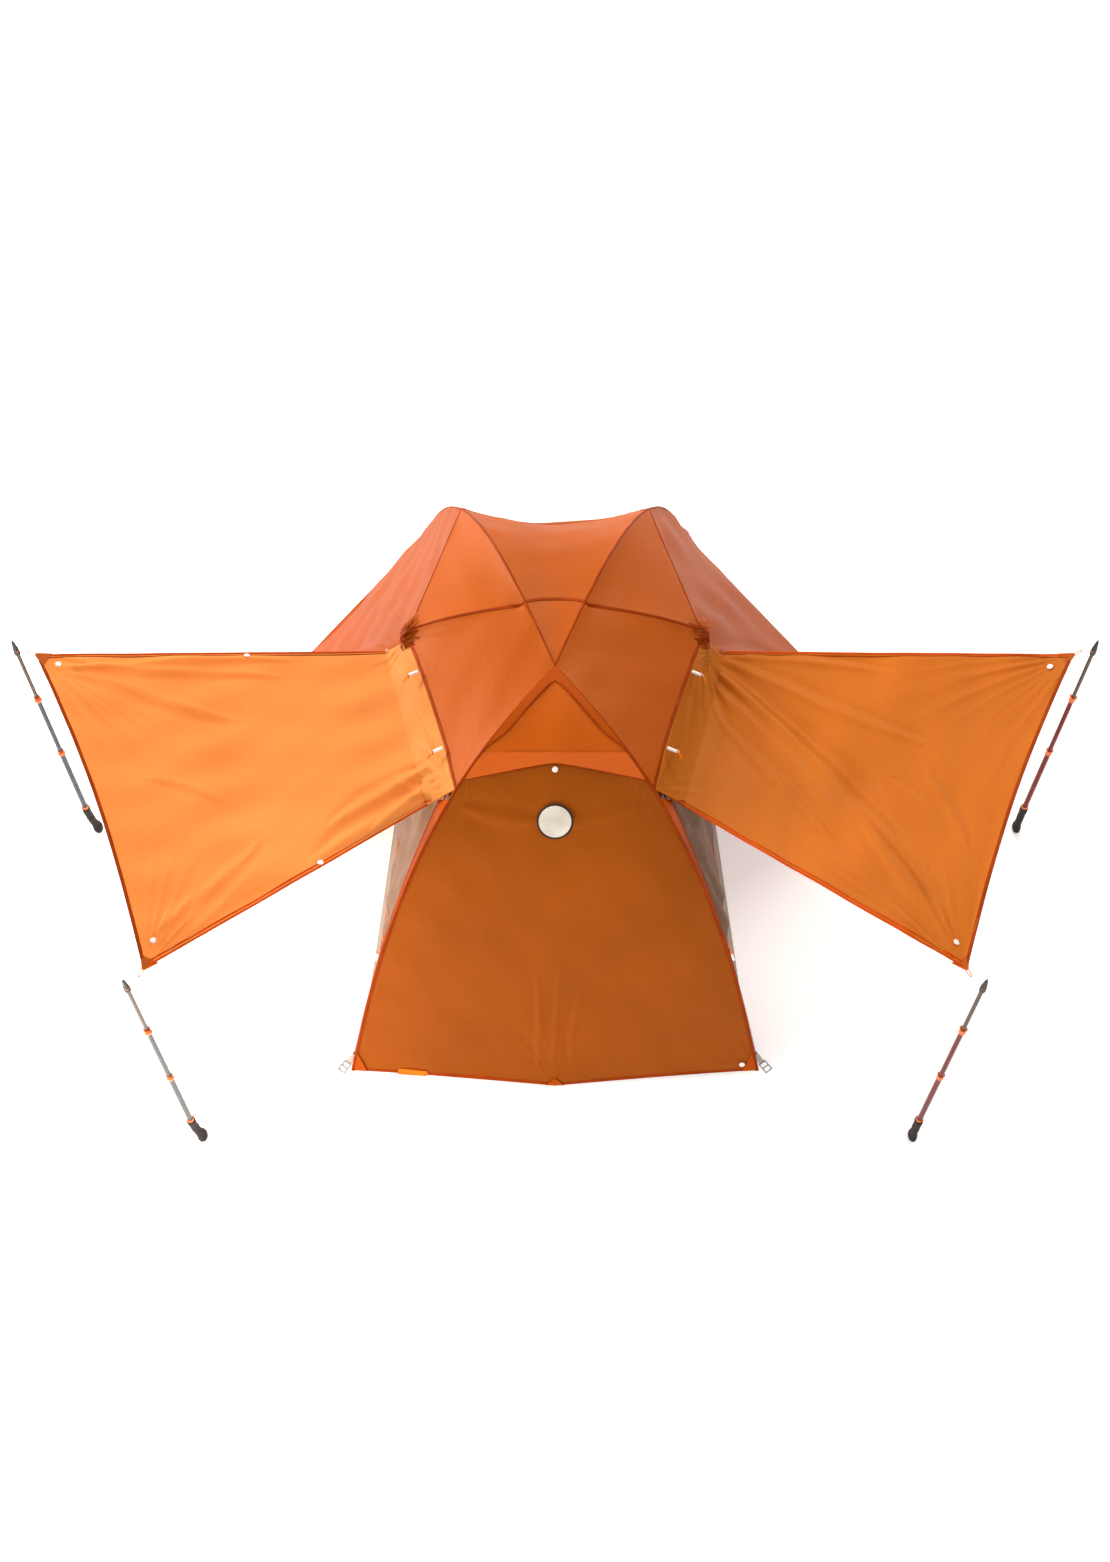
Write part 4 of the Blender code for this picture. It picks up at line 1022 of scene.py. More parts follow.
def build_seams():
    """Tapes over the poles and wherever two sheets are sewn together."""
    for side, name in SIDES.items():
        # The panels across the middle have this side's ridge as one of their long edges.
        head_edge, foot_edge = ("first", "second") if side < 0 else ("second", "first")
        roof, rear, porch, strip = (PANELS[f"{key}_{name}"]
                                    for key in ("roof", "rear", "porch", "strip"))
        vent, wall = (PANELS["vent"], head_edge), (PANELS["wall"], head_edge)
        centre, foot = (PANELS["centre"], foot_edge), (PANELS["foot"], foot_edge)
        rear_end = mirror(rear.border("end")[0], side)
        brow_end = np.linspace(brow_edge()[-1], DOOR_TOP_FAR, 14)
        tapes = [
            (head_ridge(np.linspace(0.998, VENT_T, 60)), vent, (roof, "first"), 0.011),
            (head_ridge(np.linspace(VENT_T, STRIP_TOP_T, 30)), wall, (roof, "first"), 0.012),
            (head_ridge(np.linspace(STRIP_TOP_T, 0.0, 90)), wall, (strip, "first"), 0.017),
            (foot_ridge(np.linspace(0.998, BROW_T, 30)), centre, (roof, "second"), 0.009),
            (foot_ridge(np.linspace(BROW_T, RIDGE_SEAM_T, 60)), centre, (rear, "second"), 0.010),
            (foot_ridge(np.linspace(RIDGE_SEAM_T, 0.0, 80)), foot, (porch, "second"), 0.013),
            (rear_end, (rear, "end"), (porch, "start"), 0.009),
            (brow_edge(), (roof, "second"), (rear, "first"), 0.013),
            (brow_end, (porch, "start"), (porch, "first"), 0.009),
        ]
        piece = Piece(f"ridge_seams_{name}")
        for line, first, second, width in tapes:
            seam(piece, mirror(line, side), first, second, width)
        piece.make("root", "fly_fabric")

        door = Piece(f"door_seam_{name}")
        hem(door, roof, "end", 0.011, "binding", thickness=0.0014, lift=0.0006)
        hem(door, strip, "second", 0.007, "binding", part=(0.0, 0.97))
        hem(door, porch, "first", 0.013, "door_zip", part=(0.14, 1.0))
        hem(door, porch, "end", 0.012, "binding")
        door.make("root", "fly_fabric")

    centre = PANELS["centre"]
    ts = np.linspace(1.0, RIDGE_SEAM_T, 200)
    run = lengths(foot_ridge(ts))
    crossing = np.interp(1.0 - BROW_T, 1.0 - ts, run) / run[-1]
    v = np.linspace(0.0, 1.0, 50)
    points, normal = centre.sample(crossing + 0.028 * (1.0 - (2.0 * v - 1.0) ** 2), v)
    along = unit(np.gradient(points, axis=0))
    top = Piece("brow_seam_middle")
    top.band(points + normal * 0.0008, np.cross(normal, along), normal, 0.013, 0.0016, "binding")
    top.make("root", "fly_fabric")


GATHER_PLACE = vec(0.006, -0.012, -0.020)
GATHER_FACING = vec(0.74, -0.20, 0.64)
GATHER_HALF_WIDTH = 0.050
GATHER_HALF_LENGTH = 0.078
GATHER_TUCKS = 7


def build_gathers():
    """Crumpled, gathered cloth round each end of the brow pole, with tucks across it."""
    for side, name in SIDES.items():
        centre = brow_edge()[-1] + GATHER_PLACE
        normal = unit(GATHER_FACING)
        across = unit(np.cross(normal, vec(0.0, 1.0, 0.0)))
        along = np.cross(normal, across)
        rng = np.random.default_rng(70 + side)
        rings, angles = 16, turn(120)
        phase = rng.uniform(0.0, 6.3, 5)
        rows = []
        for k in range(rings):
            r = k / (rings - 1)
            outline = (1.0 + 0.14 * np.sin(3 * angles + phase[0])
                       + 0.09 * np.sin(7 * angles + phase[1]))
            fold = (1.0 - np.abs(np.sin(11.0 * angles + 1.8 * np.sin(6 * r + phase[2])))) ** 1.4
            cross_fold = np.sin(24.0 * r + 4.0 * np.sin(3 * angles + phase[3]))
            height = 0.0082 * fold * math.sin(math.pi * min(r + 0.15, 1.0)) - 0.036 * r ** 2
            height = height + 0.0028 * cross_fold * math.sin(math.pi * r)
            radius = r * outline
            flat = (np.cos(angles) * radius * GATHER_HALF_WIDTH)[:, None] * across
            flat = flat + (np.sin(angles) * radius * GATHER_HALF_LENGTH)[:, None] * along
            rows.append(centre + flat + normal * (height + 0.009)[:, None])
        rows = np.array(rows)
        lower = rows[::-1] - normal * 0.0016
        piece = Piece(f"brow_gather_{name}")
        piece.sweep(mirror(np.concatenate([rows, lower]), side), "fly", capped=False)
        for number in range(GATHER_TUCKS):
            heading = math.pi * (number + rng.uniform(-0.3, 0.3)) / GATHER_TUCKS
            reach = rng.uniform(0.048, 0.074)
            way = unit(math.cos(heading) * across * 0.8 + math.sin(heading) * along)
            ts = np.linspace(-1.0, 1.0, 26)
            bend = 0.006 * np.sin(ts * rng.uniform(2.0, 4.0) + rng.uniform(0.0, 6.3))
            line = centre + way * (ts * reach)[:, None] + np.cross(way, normal) * bend[:, None]
            lift = 0.0125 + 0.001 * number - 0.034 * ts ** 2 + 0.0016 * np.sin(ts * 11.0)
            line = line + normal * lift[:, None]
            piece.band(mirror(line, side), mirror(np.cross(way, normal), side),
                       mirror(normal, side), rng.uniform(0.004, 0.009), 0.0012, "binding")
        piece.make("root", "fly_fabric")


# ---------------------------------------------------------------- doors held up as awnings
AWNING_FOLDS = {
    -1: [("fan", 1.0, 1.0, 0.42, 0.0036, 17), ("fan", 1.0, 0.0, 0.36, 0.0030, 16),
         ("fan", 0.0, 0.0, 0.26, 0.0042, 10), ("fan", 0.0, 1.0, 0.12, 0.0026, 15),
         ("crease", 0.02, 0.16, 0.50, 0.02, 0.016, 0.0060),
         ("crease", 0.04, 0.24, 0.42, 0.12, 0.014, 0.0050),
         ("crease", 0.02, 0.10, 0.30, 0.02, 0.012, 0.0045),
         ("crease", 0.99, 0.97, 0.35, 0.86, 0.010, 0.0030),
         ("crease", 0.99, 0.96, 0.30, 0.96, 0.008, 0.0028),
         ("crease", 0.98, 0.94, 0.50, 0.70, 0.012, 0.0028),
         ("crease", 0.97, 0.05, 0.55, 0.24, 0.012, 0.0030),
         ("crease", 0.85, 0.55, 0.62, 0.40, 0.010, 0.0016)],
    1: [("fan", 1.0, 1.0, 0.36, 0.0030, 16), ("fan", 1.0, 0.0, 0.50, 0.0042, 17),
        ("fan", 0.0, 0.0, 0.16, 0.0022, 11), ("fan", 0.0, 1.0, 0.30, 0.0040, 15),
        ("crease", 0.01, 0.97, 0.99, 0.04, 0.026, 0.0095),
        ("crease", 0.01, 0.99, 0.97, 0.14, 0.016, 0.0050),
        ("crease", 0.03, 0.90, 0.75, 0.10, 0.016, 0.0050),
        ("crease", 0.01, 0.98, 0.80, 0.62, 0.012, 0.0034),
        ("crease", 0.02, 0.99, 0.60, 0.90, 0.009, 0.0030),
        ("crease", 0.12, 0.60, 0.60, 0.12, 0.012, 0.0030),
        ("crease", 0.72, 0.60, 0.92, 0.30, 0.010, 0.0024),
        ("crease", 0.62, 0.52, 0.84, 0.36, 0.008, 0.0018)],
}
BUTTONS = {-1: ((0.955, 0.965), (0.47, 0.982), (0.45, 0.018), (0.955, 0.055)),
           1: ((0.955, 0.955), (0.955, 0.05))}


BUTTON_PROFILE = [(0.0, 0.0), (0.0075, 0.0), (0.0092, 0.0010), (0.0092, 0.0022),
                  (0.0080, 0.0032), (0.0062, 0.0026), (0.0050, 0.0034), (0.0, 0.0037)]
# Share of the awning's side edges that lies in the strip inside the hinge line, free of tape.
AWNING_BEND_SHARE = 0.055


def button(piece, panel, u, v, lift=0.0008):
    """A round white button on a sheet."""
    point, normal, _ = panel.at(u, v)
    piece.lathe(BUTTON_PROFILE, point + normal * lift, normal, "white")


def awning_cloth(side, name):
    """The door's cloth, from its seam in the roof to the hem. Inside the hinge line it is carried on
    to that seam.
    """
    near = np.linspace(DOOR_TOP_NEAR, AWNING_NEAR, 60)
    far = np.linspace(DOOR_TOP_FAR, AWNING_FAR, 60)
    gap = AWNING_EDGE_GAP / np.linalg.norm(AWNING_FAR - AWNING_NEAR)
    sheet = Panel(near, far, 0.0065, side, sag=AWNING_SAG, hollow=AWNING_HEM_HOLLOW,
                  edge=(gap, 1.0 - gap))
    sheet.lead_in(PANELS[f"roof_{name}"].border("end")[0] * vec(side, 1.0, 1.0), 9)
    sheet.fold(AWNING_FOLDS[side], 80 + side, waves=0.0024, keep_edges=0.85)
    piece = sheet.make(f"awning_{name}_cloth", None, f"awning_{name}", [f"awning_{name}"],
                       "awning_fabric", rests_on=[f"fly_roof_side_{name}_cloth"])
    hinge = mirror((DOOR_TOP_NEAR + DOOR_TOP_FAR) / 2.0, side)
    axis = mirror(unit(DOOR_TOP_FAR - DOOR_TOP_NEAR), side)
    out = mirror((AWNING_NEAR + AWNING_FAR) / 2.0, side) - hinge
    out = unit(out - axis * np.dot(out, axis))
    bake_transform(piece)
    return sheet


def awning_trim(sheet, name):
    """Hem tapes, which start beyond the strip inside the hinge line."""
    trim = Piece(f"awning_{name}_trim")
    hem(trim, sheet, "end", 0.011, "binding")
    part = (AWNING_BEND_SHARE, 1.0)
    for edge in ("first", "second"):
        hem(trim, sheet, edge, 0.007, "door_zip", thickness=0.0015, part=part)
    hem(trim, sheet, "first", 0.006, "door_zip", inset=0.012, thickness=0.0012, part=part)
    hem(trim, sheet, "second", 0.004, "binding", inset=0.011, thickness=0.0010, part=part)
    trim.make(f"awning_{name}", "awning_fabric")


def awning_fittings(sheet, side, name):
    """Buttons, and webbing with a loop at both outer corners."""
    fittings = Piece(f"awning_{name}_fittings")
    for u, v in BUTTONS[side]:
        button(fittings, sheet, u, v)
    for v in (0.0, 1.0):
        corner, normal, _ = sheet.at(1.0, v)
        inner = sheet.at(0.5, 0.5)[0]
        out = unit(corner - inner)
        across = np.cross(normal, out)
        # A triangle of doubled webbing, then a loop that goes to the pole.
        rows = []
        for k in np.linspace(0.0, 1.0, 8):
            half = 0.024 * (1.0 - k) + 0.004
            base = corner - out * (0.040 * (1.0 - k) - 0.002)
            rows.append([base - across * half - normal * 0.0016,
                         base + across * half - normal * 0.0016,
                         base + across * half + normal * 0.0026,
                         base - across * half + normal * 0.0026])
        fittings.sweep(rows, "fly")
        angles = np.linspace(0.0, 2.0 * np.pi, 25)
        loop = (corner + out * (0.012 - 0.016 * np.cos(angles))[:, None]
                + across * (0.0040 * np.sin(angles))[:, None])
        fittings.tube(loop, 0.0013, "loop", 8)
    fittings.make(f"awning_{name}", "awning_fabric")


def door_toggles(side, name):
    """Bars with a ring and a tail of cord, beside the door's seam."""
    for place, start in TOGGLE_STARTS.items():
        bar = Piece(f"toggle_{place}_{name}_bar")
        out = mirror(unit(TOGGLE_REACH), side)
        length = float(np.linalg.norm(TOGGLE_REACH))
        begin = mirror(start, side)
        profile = [(0.0, 0.0), (0.0044, 0.0), (0.0054, 0.0014), (0.0054, length - 0.0014),
                   (0.0044, length), (0.0, length)]
        bar.lathe(profile, begin, out, "white", 20)
        middle = begin + out * length * 0.92
        angles = np.linspace(0.0, 2.0 * np.pi, 20)
        ring = (middle + UP * (0.0072 * np.sin(angles))[:, None]
                + np.cross(out, UP) * (0.0072 * np.cos(angles))[:, None])
        bar.tube(ring, 0.0026, "loop", 8)
        tail = np.linspace(middle, middle + out * 0.016 - vec(0.0, 0.010, 0.012), 8)
        bar.band(tail, np.cross(out, UP), UP, 0.010, 0.0014, "loop")
        bar.make("root", "toggle_plastic", [f"toggle_{place}_{name}"])


def build_awnings():
    for side, name in SIDES.items():
        sheet = awning_cloth(side, name)
        awning_trim(sheet, name)
        awning_fittings(sheet, side, name)
        door_toggles(side, name)


# ---------------------------------------------------------------- inner tent
def tub_top_x(y):
    """Half the width of the floor tub's upper edge at y."""
    share = (y - TUB_HEAD_TOP[1]) / (TUB_FOOT_TOP[1] - TUB_HEAD_TOP[1])
    return TUB_HEAD_TOP[0] + (TUB_FOOT_TOP[0] - TUB_HEAD_TOP[0]) * share


def build_inner():
    head, foot = inner_line(HEAD_FOOT, HEAD_WALL_TOP), inner_line(FOOT_FOOT, FOOT_WALL_TOP)
    panel = Panel(mirror(head, -1), head, 0.016, sag=0.050)
    panel.fold([("pleats", 0.11, 0.003, 0.5)], 90)
    panel.make("inner_head_wall_net", "root", "net", ["inner_head_wall"], "mesh_fabric", "hung",
               rests_on=["leg_head_left", "leg_head_right"])
    panel = Panel(mirror(foot, -1), foot, 0.016, sag=0.110, pull=lambda u, v: saddle(1.0 - u, v))
    panel.fold([("pleats", 0.12, 0.003, 0.4)], 91)
    panel.make("inner_foot_wall_net", "root", "net", ["inner_foot_wall"], "mesh_fabric", "hung",
               rests_on=["leg_foot_left", "leg_foot_right"])
    low = np.array([[tub_top_x(y), y, WALL_BOTTOM_Z] for y in MESH_DOOR_BOTTOM_Y])
    top = np.array(MESH_DOOR_TOP)
    for side, name in SIDES.items():
        door = Panel(low, top, 0.009, side, start=0.010, end=0.990, edge=(0.004, 0.996))
        door.fold([("pleats", 0.085, 0.0065, 0.25), ("fan", 0.32, 1.0, 0.35, 0.003, 9)],
                  100 + side, waves=0.003, keep_edges=0.8)
        door.make(f"inner_door_{name}_net", f"inner_door_{name}", "net", [f"inner_door_{name}"],
                  "mesh_fabric", "hung", rests_on=["brow_pole"])
        trim = Piece(f"inner_door_{name}_zip")
        for edge in ("first", "second", "start", "end"):
            hem(trim, door, edge, 0.009, "net_seam")
        trim.make(f"inner_door_{name}", "mesh_fabric")
        head_side = Panel(head, np.array([low[0], top[0]]), 0.009, side)
        head_side.fold([("fan", 1.0, 0.5, 0.30, 0.0022, 9), ("fan", 0.0, 0.5, 0.30, 0.0022, 9)],
                       110 + side, waves=0.002)
        head_side.make(f"inner_side_head_{name}_net", "root", "net", [f"inner_side_head_{name}"],
                       "mesh_fabric", "hung", rests_on=[f"leg_head_{name}"])
        foot_side = Panel(np.array([low[1], top[2]]), foot, 0.012, side)
        foot_side.fold([("fan", 1.0, 0.5, 0.30, 0.0022, 9)], 120 + side, waves=0.002)
        foot_side.make(f"inner_side_foot_{name}_net", "root", "net", [f"inner_side_foot_{name}"],
                       "mesh_fabric", "hung", rests_on=[f"leg_foot_{name}"])
        trim = Piece(f"inner_seams_{name}")
        for panel, edge, width in ((head_side, "first", 0.010), (head_side, "second", 0.012),
                                   (foot_side, "first", 0.010), (foot_side, "second", 0.010)):
            hem(trim, panel, edge, width, "net_seam")
        trim.make("root", "mesh_fabric")
    edge = np.concatenate([[head[-1] + vec(-0.004, 0.012, 0.004)], top + vec(-0.012, 0.0, 0.016),
                           [foot[-1] + vec(-0.004, -0.012, 0.004)]])
    roof = Panel(mirror(edge, -1), edge, 0.018, sag=-0.140, edge=(0.006, 0.994), pull=saddle)
    roof.fold([], 93, waves=0.002)
    roof.make("inner_roof_net", "root", "net", ["inner_roof"], "mesh_fabric", "hung",
              rests_on=["hub"])

def tub_ring(head_corner, foot_corner, height):
    """The tub's outline at one height, 60 points to a side."""
    corners = [mirror(head_corner, -1), head_corner, foot_corner, mirror(foot_corner, -1)]
    points = np.concatenate([np.linspace(a, b, 60, endpoint=False)
                             for a, b in zip(corners, corners[1:] + corners[:1])])
    points[:, 2] = height
    return points


def build_floor():
    """The floor tub, one cloth folded up at the sides."""
    rng = np.random.default_rng(95)
    bottom = tub_ring(FLOOR_HEAD, FLOOR_FOOT, 0.0)
    upper = tub_ring(TUB_HEAD_TOP, TUB_FOOT_TOP, TUB_HEAD_TOP[2])
    outward = unit(bottom * LEVEL)
    rows = []
    for k in np.linspace(1.0, 0.0, 9):
        ripple = 0.0022 * np.sin(np.arange(240) * 0.42 + rng.uniform(0, 1)) * math.sin(math.pi * k)
        rows.append(bottom + (upper - bottom) * k + outward * ripple[:, None])
    for k in np.linspace(0.985, 0.0, 16):
        row = bottom * vec(k, k, 1.0)
        wave = 1.0 + np.sin(row[:, 0] * 23.0 + 2.0 * np.sin(row[:, 1] * 9.0))
        row[:, 2] = 0.0012 + 0.0012 * wave * min((1.0 - k) * 8.0, 1.0)
        rows.append(row)
    rows[8][:, 2] = 0.0006
    tub = Piece("floor_tub_cloth")
    tub.sweep(rows, "tub", capped=False)
    piece = tub.make("root", "floor_fabric", ["floor_tub"], sharp=60.0)
    thicken(piece, 0.0009)
    trim = Piece("floor_tub_seam")
    line = np.concatenate([upper, upper[:1]]) + UP * 0.001
    way = unit(line * LEVEL)
    trim.band(line - way * 0.001, UP, way, 0.012, 0.0014, "net_seam")
    trim.make("root", "floor_fabric")


# ---------------------------------------------------------------- frame and fittings
def keep_packed(node, material, width, segments):
    """Shows a node's own solid, in a material and with its edges rounded."""
    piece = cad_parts[node]
    for slot in piece.material_slots:
        slot.material = MATERIALS[material]
    bevel = piece.modifiers.new("Rounding", "BEVEL")
    bevel.width = width
    bevel.segments = segments


FERRULE_LENGTH = 0.035
LEG_FERRULES = (0.22, 0.45, 0.68, 0.90)
BROW_FERRULES = (0.22, 0.5, 0.78)
STRAP_WIDTH = 0.020
STRAP_THICKNESS = 0.0014
BUCKLE_HALF_WIDTH = 0.0125
BUCKLE_WIRE = 0.0016


def build_frame():
    """The legs and the brow pole with their ferrules and tips, the hub and the zip sliders."""
    for side, name in SIDES.items():
        for foot, end in ((HEAD_FOOT, "head"), (FOOT_FOOT, "foot")):
            flat = np.linalg.norm((foot - HUB)[:2])
            last = 1.0 - (HUB_ARM + 0.0006) / flat
            ts = np.linspace(0.0, 1.0, 70) ** 1.4 * last
            leg = Piece(f"leg_{end}_{name}_pole")
            line = mirror(leg_line(foot, ts), side)
            leg.tube(line, POLE_RADIUS - 0.0002, "alloy", 16)
            for share in LEG_FERRULES:
                part = read(line, np.linspace(share, share + FERRULE_LENGTH, 6))
                leg.tube(part, POLE_RADIUS + 0.0007, "ferrule", 16)
            tip = read(line, np.array([0.0, 0.006]))
            leg.tube(tip, POLE_RADIUS + 0.0012, "plastic", 16)
            leg.make("root", "frame_alloy", [f"leg_{end}_{name}"])
    line = brow_line(np.linspace(-BROW_END[0], BROW_END[0], 60))
    brow = Piece("brow_pole_tube")
    brow.tube(line, POLE_RADIUS - 0.0002, "alloy", 16)
    for share in BROW_FERRULES:
        brow.tube(read(line, np.linspace(share - 0.02, share + 0.02, 6)), POLE_RADIUS + 0.0007,
                  "ferrule", 16)
    for share in (0.0, 0.988):
        brow.tube(read(line, np.array([share, share + 0.012])), POLE_RADIUS + 0.0012, "plastic", 16)
    brow.make("root", "frame_alloy", ["brow_pole"])
    keep_packed("hub", "plastic", 0.002, 3)
    for name in SIDES.values():
        keep_packed(f"zip_slider_{name}", "zip_teeth", 0.0008, 2)


def build_corner_straps():
    """Webbing from each floor corner to its pole foot, with a ladder buckle at the end."""
    for side, name in SIDES.items():
        for corner, foot, end in ((FLOOR_HEAD, HEAD_FOOT, "head"), (FLOOR_FOOT, FOOT_FOOT, "foot")):
            start = corner * LEVEL
            aim = unit((foot - corner) * LEVEL)
            across = np.cross(UP, aim)
            strap = Piece(f"corner_strap_{end}_{name}_webbing")
            ring, last = (0.074, 0.112) if end == "head" else (0.044, 0.060)
            for low, high, lift, wave in ((0.003, ring + 0.004, 0.0, 0.0006),
                                          (0.010, 0.038, 0.0018, 0.0)):
                ts = np.linspace(low, high, 16)
                line = start + aim * ts[:, None]
                line = line + UP * (lift + wave * np.sin(ts * 90.0) ** 2)[:, None]
                strap.band(mirror(line, side), mirror(across, side), UP, STRAP_WIDTH, STRAP_THICKNESS,
                           "webbing")
            wires = [start + aim * np.linspace(ring, last, 8)[:, None] + across * offset
                     for offset in (BUCKLE_HALF_WIDTH, -BUCKLE_HALF_WIDTH)]
            rung = across * np.linspace(-BUCKLE_HALF_WIDTH, BUCKLE_HALF_WIDTH, 8)[:, None]
            wires += [start + aim * at + rung
                      for at in (ring + 0.001, 0.5 * (ring + last), last - 0.001)]
            for wire in wires:
                strap.tube(mirror(wire + UP * BUCKLE_WIRE, side), BUCKLE_WIRE, "buckle", 10)
            strap.make("root", "webbing", [f"corner_strap_{end}_{name}"])


def build_head_details():
    """The head wall's patch, buttons, corner reinforcements and hem loop."""
    wall = PANELS["wall"]
    patch = Piece("round_patch")
    top = float(hem_share(0.5)) - WALL_TUCK
    point, normal, _ = wall.at((head_share(PATCH_T) - top) / (1.0 - top), 0.5)
    point = point + normal * 0.0012
    patch.lathe([(0.0, 0.0), (0.054, 0.0), (0.056, 0.0010), (0.055, 0.0022), (0.051, 0.0024),
                 (0.050, 0.0016)], point, normal, "patch_rim", 48)
    patch.lathe([(0.0, 0.0006), (0.0505, 0.0006), (0.0500, 0.0018), (0.0470, 0.0021),
                 (0.0, 0.0023)], point, normal, "patch", 48)
    patch.make("root", "wall_fabric")

    small = Piece("head_wall_buttons")
    button(small, wall, 0.030, 0.5)
    button(small, wall, 0.965, 0.962, 0.004)
    small.make("root", "toggle_plastic")

    patches = Piece("head_corner_patches")
    for v, way in ((0.0, 1.0), (1.0, -1.0)):
        corner, normal, _ = wall.at(1.0, v)
        up_edge = unit(wall.at(0.86, v)[0] - corner)
        in_edge = unit(wall.at(1.0, v + way * 0.10)[0] - corner)
        rows = []
        for k in np.linspace(0.0, 1.0, 9):
            a = corner + up_edge * 0.085 * (1.0 - k) + in_edge * 0.006
            b = corner + in_edge * 0.050 * (1.0 - k) ** 0.8 + up_edge * 0.004
            rows.append([a - normal * 0.002, b - normal * 0.002, b + normal * 0.0034,
                         a + normal * 0.0034])
        patches.sweep(rows, "band")
    middle, normal, _ = wall.at(1.0, 0.5)
    up_edge = unit(wall.at(0.94, 0.5)[0] - middle)
    rows = []
    for k in np.linspace(0.0, 1.0, 6):
        half = 0.030 * (1.0 - k)
        at = middle + up_edge * (0.004 + 0.030 * k) + normal * 0.0006
        rows.append([at - vec(half, 0, 0) - normal * 0.002, at + vec(half, 0, 0) - normal * 0.002,
                     at + vec(half, 0, 0) + normal * 0.0022, at - vec(half, 0, 0) + normal * 0.0022])
    patches.sweep(rows, "band")
    line, inward, normal = wall.border("end")
    count = len(line)
    a, b = int(0.115 * count), int(0.195 * count)
    patches.band(line[a:b] + inward[a:b] * 0.009 + normal[a:b] * 0.001, inward[a:b], normal[a:b],
                 0.026, 0.0016, "loop")
    patches.make("root", "fly_fabric")

def build_side_details():
    """The loops with toggles on the side strips, and the vestibules' zips."""
    for name in SIDES.values():
        strip = PANELS[f"strip_{name}"]
        loops = Piece(f"side_loop_{name}")
        point, normal, along = strip.at(0.52, 0.2)
        out = unit(strip.at(0.52, 1.0)[0] - strip.at(0.52, 0.0)[0])
        angles = np.linspace(0.0, np.pi, 16)
        arc = (point + normal * (0.003 + 0.012 * np.sin(angles))[:, None]
               + along * (0.014 * np.cos(angles))[:, None])
        loops.band(arc, out, unit(arc - point), 0.008, 0.0012, "loop")
        bar = point + normal * 0.010 + along * 0.016
        loops.lathe([(0.0, 0.0), (0.0032, 0.0), (0.0038, 0.001), (0.0038, 0.024), (0.003, 0.026),
                     (0.0, 0.026)], bar, along, "white", 16)
        loops.make("root", "toggle_plastic")

        teeth = Piece(f"vestibule_zip_{name}")
        porch = PANELS[f"porch_{name}"]
        line, inward, normal = porch.border("first")
        keep = slice(int(0.15 * len(line)), int(0.99 * len(line)))
        coil = line[keep] + inward[keep] * 0.020 + normal[keep] * 0.0016
        fine = read(coil, np.linspace(0.0, 1.0, 420))
        wobble = np.where(np.arange(420) % 2 == 0, 0.0006, -0.0006)
        teeth.tube(fine + vec(0, 1.0, 0) * wobble[:, None], 0.0017, "zip_teeth", 6)
        teeth.make("root", "fly_fabric")


# ---------------------------------------------------------------- trekking poles
def collar(radius, low, high):
    """Profile of a plain cylinder from low to high."""
    return [(0.0, low), (radius, low), (radius, high), (0.0, high)]


CLAMP_SHAPE = [(0.0, -0.026), (0.0094, -0.026), (0.0107, -0.022), (0.0109, -0.019),
               (0.0104, -0.018), (0.0104, -0.004), (0.0109, -0.003), (0.0107, -0.001),
               (0.0096, 0.0), (0.0, 0.0)]
GRIP_HEIGHTS = [0, .004, .012, .024, .036, .060, .085, .110, .135, .150]
GRIP_RADII = [.011, .0155, .0185, .0180, .0140, .0136, .0150, .0142, .0168, .0160]
GRIP_LEAN = {-1: vec(0.020, -0.004, 0.0), 1: vec(0.0, -0.004, 0.0)}
TUBE_SLOTS = {-1: "grey_tube", 1: "red_tube"}


def pole_handle(prefix, base, side, upper_top):
    """The grip, bent at its lower end, and the upper tube with its clamp."""
    def warp(height):
        share = min(max(1.0 - height / 0.15, 0.0), 1.0)
        return 0.82, 1.0 + 0.26 * share, GRIP_LEAN[side] * share ** 2
    grip = Piece(f"{prefix}_handle")
    profile = [(0.0, 0.0)]
    for h in np.linspace(0.0, 0.150, 40):
        ripple = 0.0007 * math.sin(h * 2 * math.pi / 0.018) if 0.036 < h < 0.130 else 0.0
        profile.append((np.interp(h, GRIP_HEIGHTS, GRIP_RADII) + ripple, h))
    profile += [(0.0100, 0.1535), (0.0, 0.1535)]
    grip.lathe(profile, base, UP, "grip", 30, warp)
    grip.lathe(collar(0.0090, 0.150, upper_top - 0.010), base, UP, side)
    grip.lathe(collar(0.0112, 0.152, 0.166), base, UP, "clamp")
    for low, high in ((0.30, 0.306), (0.312, 0.315), (0.405, 0.408)):
        grip.lathe(collar(0.0092, low, high), base, UP, "tip_tube")
    grip.lathe([(r, upper_top + h) for r, h in CLAMP_SHAPE], base, UP, "clamp")
    grip.make("root", "grip_rubber", [f"{prefix}_grip"])


def pole_middle(prefix, base, side, low, upper_top, top):
    tube = Piece(f"{prefix}_middle_shaft")
    tube.lathe(collar(0.0077, low, top - 0.010), base, UP, side, 26)
    for mark in (upper_top + 0.060, upper_top + 0.072, top - 0.080):
        tube.lathe(collar(0.0079, mark, mark + 0.004), base, UP, "tip_tube", 26)
    tube.lathe([(r * 0.99, top + h) for r, h in CLAMP_SHAPE], base, UP, "clamp")
    tube.make(f"{prefix}_middle", TUBE_SLOTS[side], [f"{prefix}_middle_tube"])


